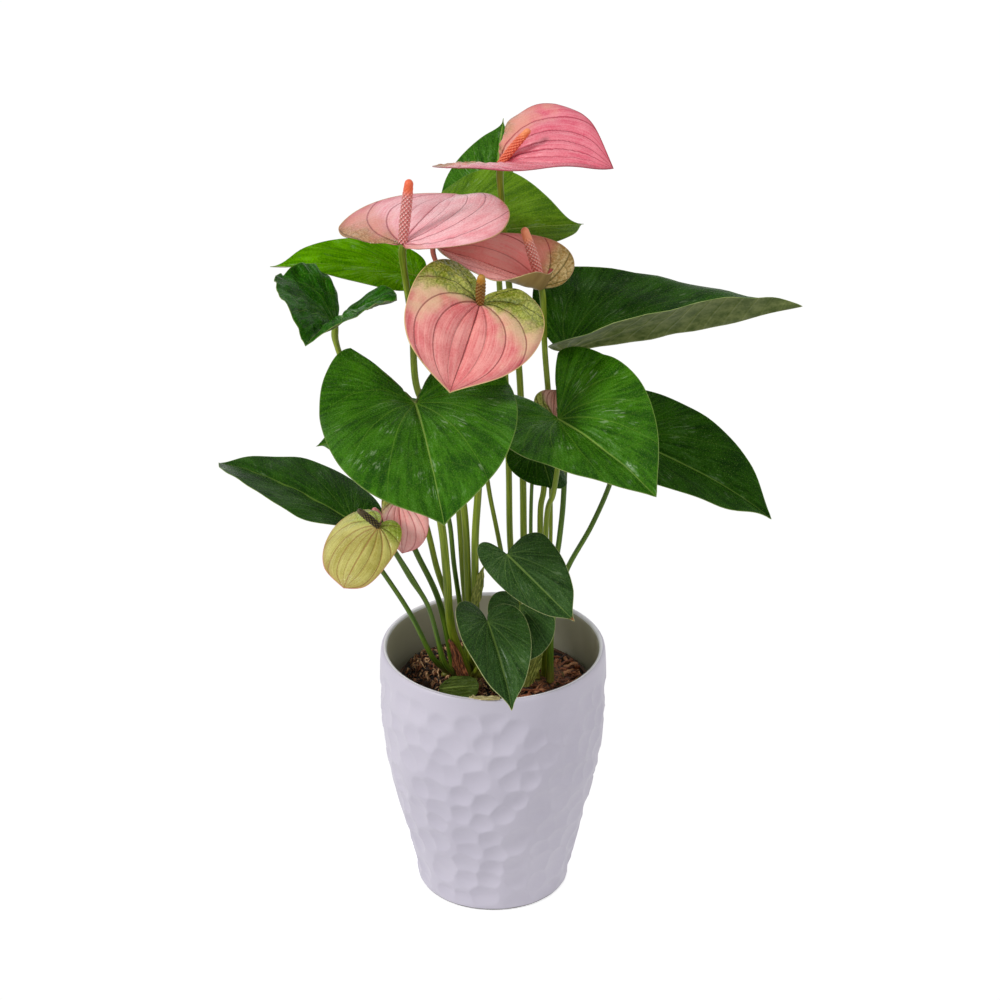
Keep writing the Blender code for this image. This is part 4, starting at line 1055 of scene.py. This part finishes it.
GREEN_LOBE = (rgb(108, 126, 14), rgb(204, 208, 104), rgb(70, 76, 14))
BROWN_LOBE = (rgb(168, 134, 64), rgb(224, 200, 134), rgb(98, 92, 24))
OLIVE_LOBE = (rgb(158, 108, 72), rgb(206, 166, 126), rgb(110, 84, 44))
FLOWERS = {
    "top": dict(
        base=(4, 30, 439), tip=(65, -5, 451), left=(-4, -9, 451), right=(30, 58, 463), seed=61,
        lobes=(0.34, 0.0), curl=10, arch=5, taper=(0.52, 0.70), shoulder=0.35, relief=1.7, detail=32,
        edge=rgb(150, 34, 52),
        veins=(0.0, 0.30, 0.58, 0.88, 1.2, 1.55, 1.95, 2.4),
        look=dict(pink=rgb(212, 80, 104), pale=rgb(234, 142, 152), lobe=OLIVE_LOBE, vein=rgb(170, 48, 70),
                  rim=rgb(150, 30, 48), cream=rgb(230, 160, 138), left=(1.6, 2.0), right=(1.2, 1.7))),
    "left": dict(
        base=(-49, 0, 405), tip=(-21, 60, 410), left=(6, -18, 420), right=(-84, 24, 404), seed=62,
        lobes=(0.14, 0.05), curl=10, arch=20, relief=0.8, detail=28, edge=rgb(196, 150, 110),
        look=dict(pink=rgb(238, 146, 154), pale=rgb(255, 202, 204), lobe=OLIVE_LOBE, vein=rgb(168, 72, 84),
                  rim=rgb(190, 150, 100), cream=rgb(220, 146, 128), right=(1.0, 1.6), left=(2.3, 2.9))),
    "right": dict(
        base=(27, 15, 373), tip=(-32, 35, 388), left=(34, 33, 392), right=(6, -8, 384), seed=63,
        lobes=(0.16, 0.08), curl=10, arch=10, taper=(0.36, 0.80), under="olive", relief=0.7, detail=28,
        folds=((1, 1.05, 1.75, 11.0),), edge=rgb(206, 190, 130),
        look=dict(pink=rgb(255, 150, 144), pale=rgb(255, 190, 178), lobe=BROWN_LOBE, vein=rgb(176, 66, 70),
                  rim=rgb(206, 160, 120), cream=rgb(214, 140, 112), left=(0.95, 1.6))),
    "front": dict(
        base=(-7, -20, 378), tip=(-23, -75, 350), left=(-45, -35, 391), right=(26, -32, 362), seed=64,
        lobes=(0.34, 0.24), arch=20, taper=(0.95, 0.62), shoulder=0.26, detail=32, relief=1.3,
        edge=rgb(226, 200, 140),
        look=dict(pink=rgb(220, 100, 104), pale=rgb(250, 170, 160), lobe=GREEN_LOBE, vein=rgb(142, 58, 56),
                  rim=rgb(226, 190, 130), cream=rgb(226, 194, 150), left=(1.15, 1.55), right=(0.95, 1.4))),
    "low_green": dict(
        base=(-63, -50, 257), tip=(-82, -75, 232), left=(-90, -31, 245), right=(-54, -62, 245), seed=65,
        lobes=(0.28, 0.25), curl=10, arch=20, taper=(0.60, 0.80), edge=rgb(206, 130, 120),
        look=dict(pink=rgb(166, 152, 58), pale=rgb(208, 200, 112),
                  lobe=(rgb(126, 148, 30), rgb(190, 202, 96), rgb(122, 116, 40)), vein=rgb(168, 122, 66),
                  rim=rgb(214, 130, 120), left=(1.3, 2.1), right=(1.1, 1.9))),
    "low_pink": dict(
        base=(-53, -15, 256), tip=(-51, -25, 227), left=(-62, -22, 252), right=(-36, -22, 247), seed=66,
        lobes=(0.35, 0.45), curl=10, arch=20, detail=16, edge=rgb(206, 90, 96),
        look=dict(pink=rgb(255, 166, 160), pale=rgb(255, 208, 198), lobe=GREEN_LOBE, vein=rgb(214, 118, 118),
                  rim=rgb(204, 90, 96), left=(0.8, 1.6))),
    "opening": dict(
        base=(34, 0, 301), tip=(35, 8, 313), left=(41, -2, 310), right=(23, 3, 308), seed=67,
        lobes=(0.45, 0.45), curl=10, arch=20, detail=14, relief=0.5, wave=0.2, edge=rgb(190, 190, 120),
        look=dict(pink=rgb(228, 160, 142), pale=rgb(240, 192, 172), lobe=GREEN_LOBE, vein=rgb(176, 112, 92),
                  rim=rgb(200, 196, 130), left=(1.8, 2.4), right=(0.5, 1.0))),
}
PEDUNCLES = {
    "low_green": (1.3, [(-22, -5), (-28, -28, 160), (-36, -36, 198), (-46, -42, 220), (-54, -46, 238),
                        (-61, -48, 250)]),
    "low_pink": (1.7, [(-23, 4), (-31, -5, 186), (-44, -11, 222), (-51, -12, 246)]),
    "left": (2.0, [(-13, 9), (-14, -6, 187), (-17, -5, 251), (-29, -4, 295), (-42, -3, 319), (-44.5, -2, 358),
                   (-49, 0, 394)]),
    "front": (2.1, [(-9, 2), (-10, -9, 190), (-10, -8, 228), (-8, -6, 262), (-6, -4, 318), (-6, -5, 345),
                    (-7, -15, 368)]),
    "top": (1.9, [(22, 11), (18, 12, 203), (17, 18, 255), (15, 28, 313), (10, 37, 355), (7, 41, 385),
                  (5, 38, 412), (4, 32, 430)]),
    "right": (1.7, [(29, 20), (27, 15, 226), (29, 15, 248), (32, 14, 289), (29, 13, 335), (28, 14, 362)]),
    "opening": (1.1, [(31.5, 14.5), (33, 11, 218), (33, 16, 259), (35, 15, 279), (35, 5, 292)]),
}
pink_back = finish_of("spathe_under", spathe_under, rgb(190, 110, 104), rgb(220, 146, 138))
olive_back = finish_of("spathe_under_olive", spathe_under, rgb(132, 100, 56), rgb(176, 146, 92))
for name, spec in FLOWERS.items():
    upper = finish_of("spathe_face_" + name, spathe_look, spathe_length(spec),
                      spec.get("veins", SPATHE_VEINS), **spec["look"])
    shadow = (*(0.7 * share for share in spec["edge"][:3]), 1.0)
    rim = finish_of("spathe_edge_" + name, edge_look, shadow, spec["edge"], 110.0, 0.35)
    blade("bract_" + name, spec, spec.get("detail", 26), SPATHE_THICKNESS, spathe_relief,
          [upper, olive_back if spec.get("under") == "olive" else pink_back, rim],
          "spathe_green" if name == "low_green" else "spathe_pink", ["spathe_" + name])
    radius, points = PEDUNCLES[name]
    foot_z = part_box("peduncle_" + name)[0].z / MM - STALK_SUNK
    end = np.array(spec["base"]) - PEDUNCLE_GAP * joint_normal(spec)
    finish = dark_stalk if name in ("low_green", "low_pink") else green_stalk
    stalk("flower_stem_" + name, radius, points, foot_z, end, finish, ["peduncle_" + name], knuckle=1.15)

# ================================================================ spadices
# The flower spikes: fleshy cones packed with tiny blossoms in two crossing sets of spirals, each blossom
# a raised lozenge with a pale dot. The tip, where they haven't opened, is smoother and mostly orange.

SPADIX_TURNS = 8  # spirals each way
SPADIX_PITCH = 4.6  # turns of each spiral over a tenth of a metre
SPADIX_GAP = 0.3  # from its spathe
SPADICES = {  # dots is how strongly the pale dots and the painted shade between blossoms show; the colours are flesh, dot and tip
    "top": dict(radius=2.3, end=(20, 24, 462), dots=0.2,
                colours=(rgb(240, 122, 86), rgb(250, 176, 132), rgb(240, 142, 86))),
    "left": dict(radius=3.0, end=(-45, 1, 442), dots=0.85,
                 colours=(rgb(220, 132, 126), rgb(248, 230, 220), rgb(232, 104, 62))),
    "right": dict(radius=2.8, end=(17, 10, 410), dots=0.85,
                  colours=(rgb(226, 140, 124), rgb(250, 230, 214), rgb(242, 152, 108))),
    "front": dict(radius=2.6, end=(-6, -30, 399), dots=0.25,
                  colours=(rgb(132, 92, 22), rgb(184, 150, 50), rgb(180, 130, 38))),
    "low_green": dict(radius=1.9, end=(-74, -55, 270), dots=0.6,
                      colours=(rgb(58, 46, 14), rgb(176, 160, 78), rgb(76, 60, 22))),
    "low_pink": dict(radius=1.7, end=(-57, -27, 263), dots=0.5,
                     colours=(rgb(190, 108, 90), rgb(226, 170, 130), rgb(214, 140, 84))),
}


def spadix_look(w, low, dot, tip, dots, ripe_to, smooth_from):
    """Blossoms up to V ripe_to, darker in the hollows between them as painted shade; from V smooth_from
    on, the smooth tip's colour.
    """
    run = w.node("UVMap", {"uv_map": "run"})
    u, v = part_of(run, "X"), part_of(run, "Y")
    first = (u + v * SPADIX_PITCH) * SPADIX_TURNS * math.tau
    second = (u - v * SPADIX_PITCH) * SPADIX_TURNS * math.tau
    raised = (w.maths("COSINE", first) + w.maths("COSINE", second)) * 0.25 + 0.5
    grain = noise(w.node("TexCoord", out="Object"), 1200.0)
    ripe = v.step(smooth_from, ripe_to)
    tone = ripe.mix(tip, (raised.step(0.76, 0.92) * ripe * dots).mix(low, dot))
    # The hollows between the blossoms are darkened in the colour: painted shade.
    hollow = 1 - (raised.step(0.05, 0.4) * 0.5 + 0.5)
    shade = (ripe * hollow * (0.3 + 0.4 * dots)).mix((1, 1, 1, 1), (0.30, 0.20, 0.17, 1))
    return {"Base_Color": shaded(tone, shade), "Roughness": 0.4 + grain * 0.15,
            "Normal": bump(raised * ripe + grain * 0.2, 0.0006, 0.8)}


def spike(name, foot, end, radius, finish, slot, replaced):
    """Cone along a line that bends a little, with a round tip. Each ring stands out by a lattice of
    lozenges: the sum of two cosines that wind opposite ways."""
    rows, columns = 120, 78
    t = 1 - (1 - np.linspace(0, 1, rows)) ** 1.35
    length = np.linalg.norm(end - foot)
    bow = np.array([0.0, 0.0, 1.0]) * 0.02 * length * np.sin(math.pi * t)[:, None]
    path = foot + t[:, None] * (end - foot) + bow
    tip = np.sqrt(np.clip(1 - ((t * length - (length - radius)) / radius).clip(0, 1) ** 2, 0, 1))
    body = radius * (0.82 + 0.18 * np.sin(math.pi * np.clip(t * 1.1, 0, 1))) * np.maximum(tip, 0.02)
    rings = tube_rings(path, body, columns)
    u = np.arange(columns) / columns
    v = (t * length / 100)[:, None]
    lattice = sum(np.cos((u + v * pitch) * SPADIX_TURNS * math.tau)
                  for pitch in (SPADIX_PITCH, -SPADIX_PITCH))
    fade = np.clip((0.93 - t) / 0.2, 0.15, 1)[:, None]
    out = unit(rings - path[:, None])
    rings = rings + out * (0.15 * lattice * fade * np.minimum(body, 1)[:, None])[..., None]
    points, faces = capped(rings, path[0], path[-1] + (path[-1] - path[-2]) * 0.2)
    piece(name, points, faces, [finish], replaced, layers={"run": tube_uv(t * length, columns)})


for name, shape in SPADICES.items():
    spec = FLOWERS[name]
    foot = np.array(spec["base"], float) + SPADIX_GAP * joint_normal(spec)
    end = np.array(shape["end"], float)
    length = np.linalg.norm(end - foot) / 100
    finish = finish_of("spike_finish_" + name, spadix_look, *shape["colours"], shape["dots"],
                       0.70 * length, 0.86 * length)
    spike("spike_" + name, foot, end, shape["radius"], finish,
          "spadix_dark" if name == "low_green" else "spadix", ["spadix_" + name])

# ================================================================ bud
# A young bract still rolled round itself: a pink pointed roll with a spiral edge. It stands on its own
# thin stalk between the two low flowers.

BUD_COLUMNS = 60
bud_start = np.array([-64.3, -30.2, 247.4])
bud_end = np.array([-66.0, -28.0, 257.5])
bud_t = np.linspace(0, 1, 40)
bud_path = bud_start + bud_t[:, None] * (bud_end - bud_start)
bud_width = 3.4 * np.sin(math.pi * np.clip(bud_t * 0.9 + 0.06, 0, 1)) ** 0.7
bud_rings = tube_rings(bud_path, bud_width, BUD_COLUMNS)
bud_turn = (np.arange(BUD_COLUMNS) / BUD_COLUMNS + 0.5 * bud_t[:, None]) % 1.0
bud_rings = bud_path[:, None] + (bud_rings - bud_path[:, None]) * (0.90 + 0.14 * bud_turn)[..., None]
bud_points, bud_faces = capped(bud_rings, bud_path[0], bud_path[-1] + (0, 0, 0.2))


def bud_look(w):
    cloud = noise(w.node("UVMap", {"uv_map": "run"}), 12.0, 4.0)
    return {"Base_Color": cloud.step(0.35, 0.65).mix(rgb(206, 110, 112), rgb(238, 164, 160)),
            "Roughness": 0.3, "Normal": bump(cloud, 0.0006, 0.5)}


piece("rolled_bud", bud_points, bud_faces, [finish_of("bud_face", bud_look)], ["bud"],
      layers={"run": tube_uv(bud_t * 10, BUD_COLUMNS)})
stalk("bud_stem", 1.1, [(-29, 7), (-36, -5, 179), (-42, -18, 201), (-53, -26, 226)],
      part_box("bud_stalk")[0].z / MM - STALK_SUNK, (-64, -30, 247.6), dark_stalk, ["bud_stalk"], knuckle=1.0)

# ================================================================ sheaths and scraps
# Papery brown bracts clasp the stalks where they leave the crowns, with young green ones among them. Two
# cut pieces of leaf lie on the bed, and a pale dry curl of sheath on the pot's lip.


def paper_look(w, dark, light):
    grain = noise(scaled(w.node("UVMap", {"uv_map": "flat"}), (8.0, 90.0, 1.0)), 6.0, 5.0)
    return {"Base_Color": grain.step(0.42, 0.58).mix(dark, light), "Roughness": 0.7,
            "Normal": bump(grain, 0.0005, 0.8)}


def paper_relief(spec, x, y, out):
    """Lengthwise pleats and a crumpled edge."""
    return 0.55 * np.sin(y * 2.6 + spec["seed"]) * out + 0.9 * ripples(x, y, 7.0, spec["seed"]) * out**2


brown_paper = finish_of("papery_brown", paper_look, rgb(58, 26, 14), rgb(186, 112, 70))
green_paper = finish_of("papery_green", paper_look, rgb(96, 112, 30), rgb(176, 182, 88))
pale_paper = finish_of("papery_pale", paper_look, rgb(160, 146, 84), rgb(226, 214, 160))
scrap_face = finish_of("leaf_scrap", leaf_look, rgb(62, 84, 22), rgb(98, 118, 48), rgb(130, 144, 74), 0.1)
SHEATH_THICKNESS = 0.4
SHEATHS = {
    "sheath_main": dict(
        base=(-16, -14.5, 130.3), tip=(-25, -14, 166), left=(-21, -14.5, 142), right=(-13.5, -13.5, 140),
        seed=71, lobes=(0.02, 0.02), curl=40, arch=6, face=brown_paper, slot="sheath"),
    "sheath_side": dict(
        base=(18, -8.5, 130.3), tip=(27, -11, 158), left=(17.5, -10, 140), right=(25, -11.5, 139),
        seed=72, lobes=(0.02, 0.02), curl=40, arch=8, face=green_paper, slot="sheath"),
    "sheath_stalk": dict(
        base=(-9.5, -12.2, 187), tip=(-5, -13, 213), left=(-12.5, -11.5, 192), right=(-6.5, -11.3, 192),
        seed=73, lobes=(0.02, 0.02), curl=30, arch=6, face=green_paper, slot="sheath"),
    "leaf_scrap_left": dict(
        base=(-30, -19, 136), tip=(-8, -20, 139), left=(-21, -17, 143), right=(-20, -22.5, 129.2),
        seed=74, lobes=(0.1, 0.1), curl=10, arch=14, face=scrap_face, slot="leaf"),
    "leaf_scrap_front": dict(
        base=(-1, -6, 130), tip=(8, -13, 129.8), left=(5, -5, 130.4), right=(0, -12, 130.2),
        seed=75, lobes=(0.1, 0.1), curl=10, arch=14, face=scrap_face, slot="leaf"),
    "dry_curl": dict(
        base=(-13, -61.3, 154.8), tip=(4, -62.7, 154.8), left=(-4, -64.2, 154.5), right=(-4, -60.6, 154.7),
        seed=76, lobes=(0.05, 0.05), curl=30, arch=4, face=pale_paper, slot="sheath"),
}
for name, spec in SHEATHS.items():
    blade(name + "_piece", spec, 12, SHEATH_THICKNESS, paper_relief, [spec["face"]] * 3, spec["slot"],
          [] if name == "dry_curl" else [name])  # no solid stands for the curl
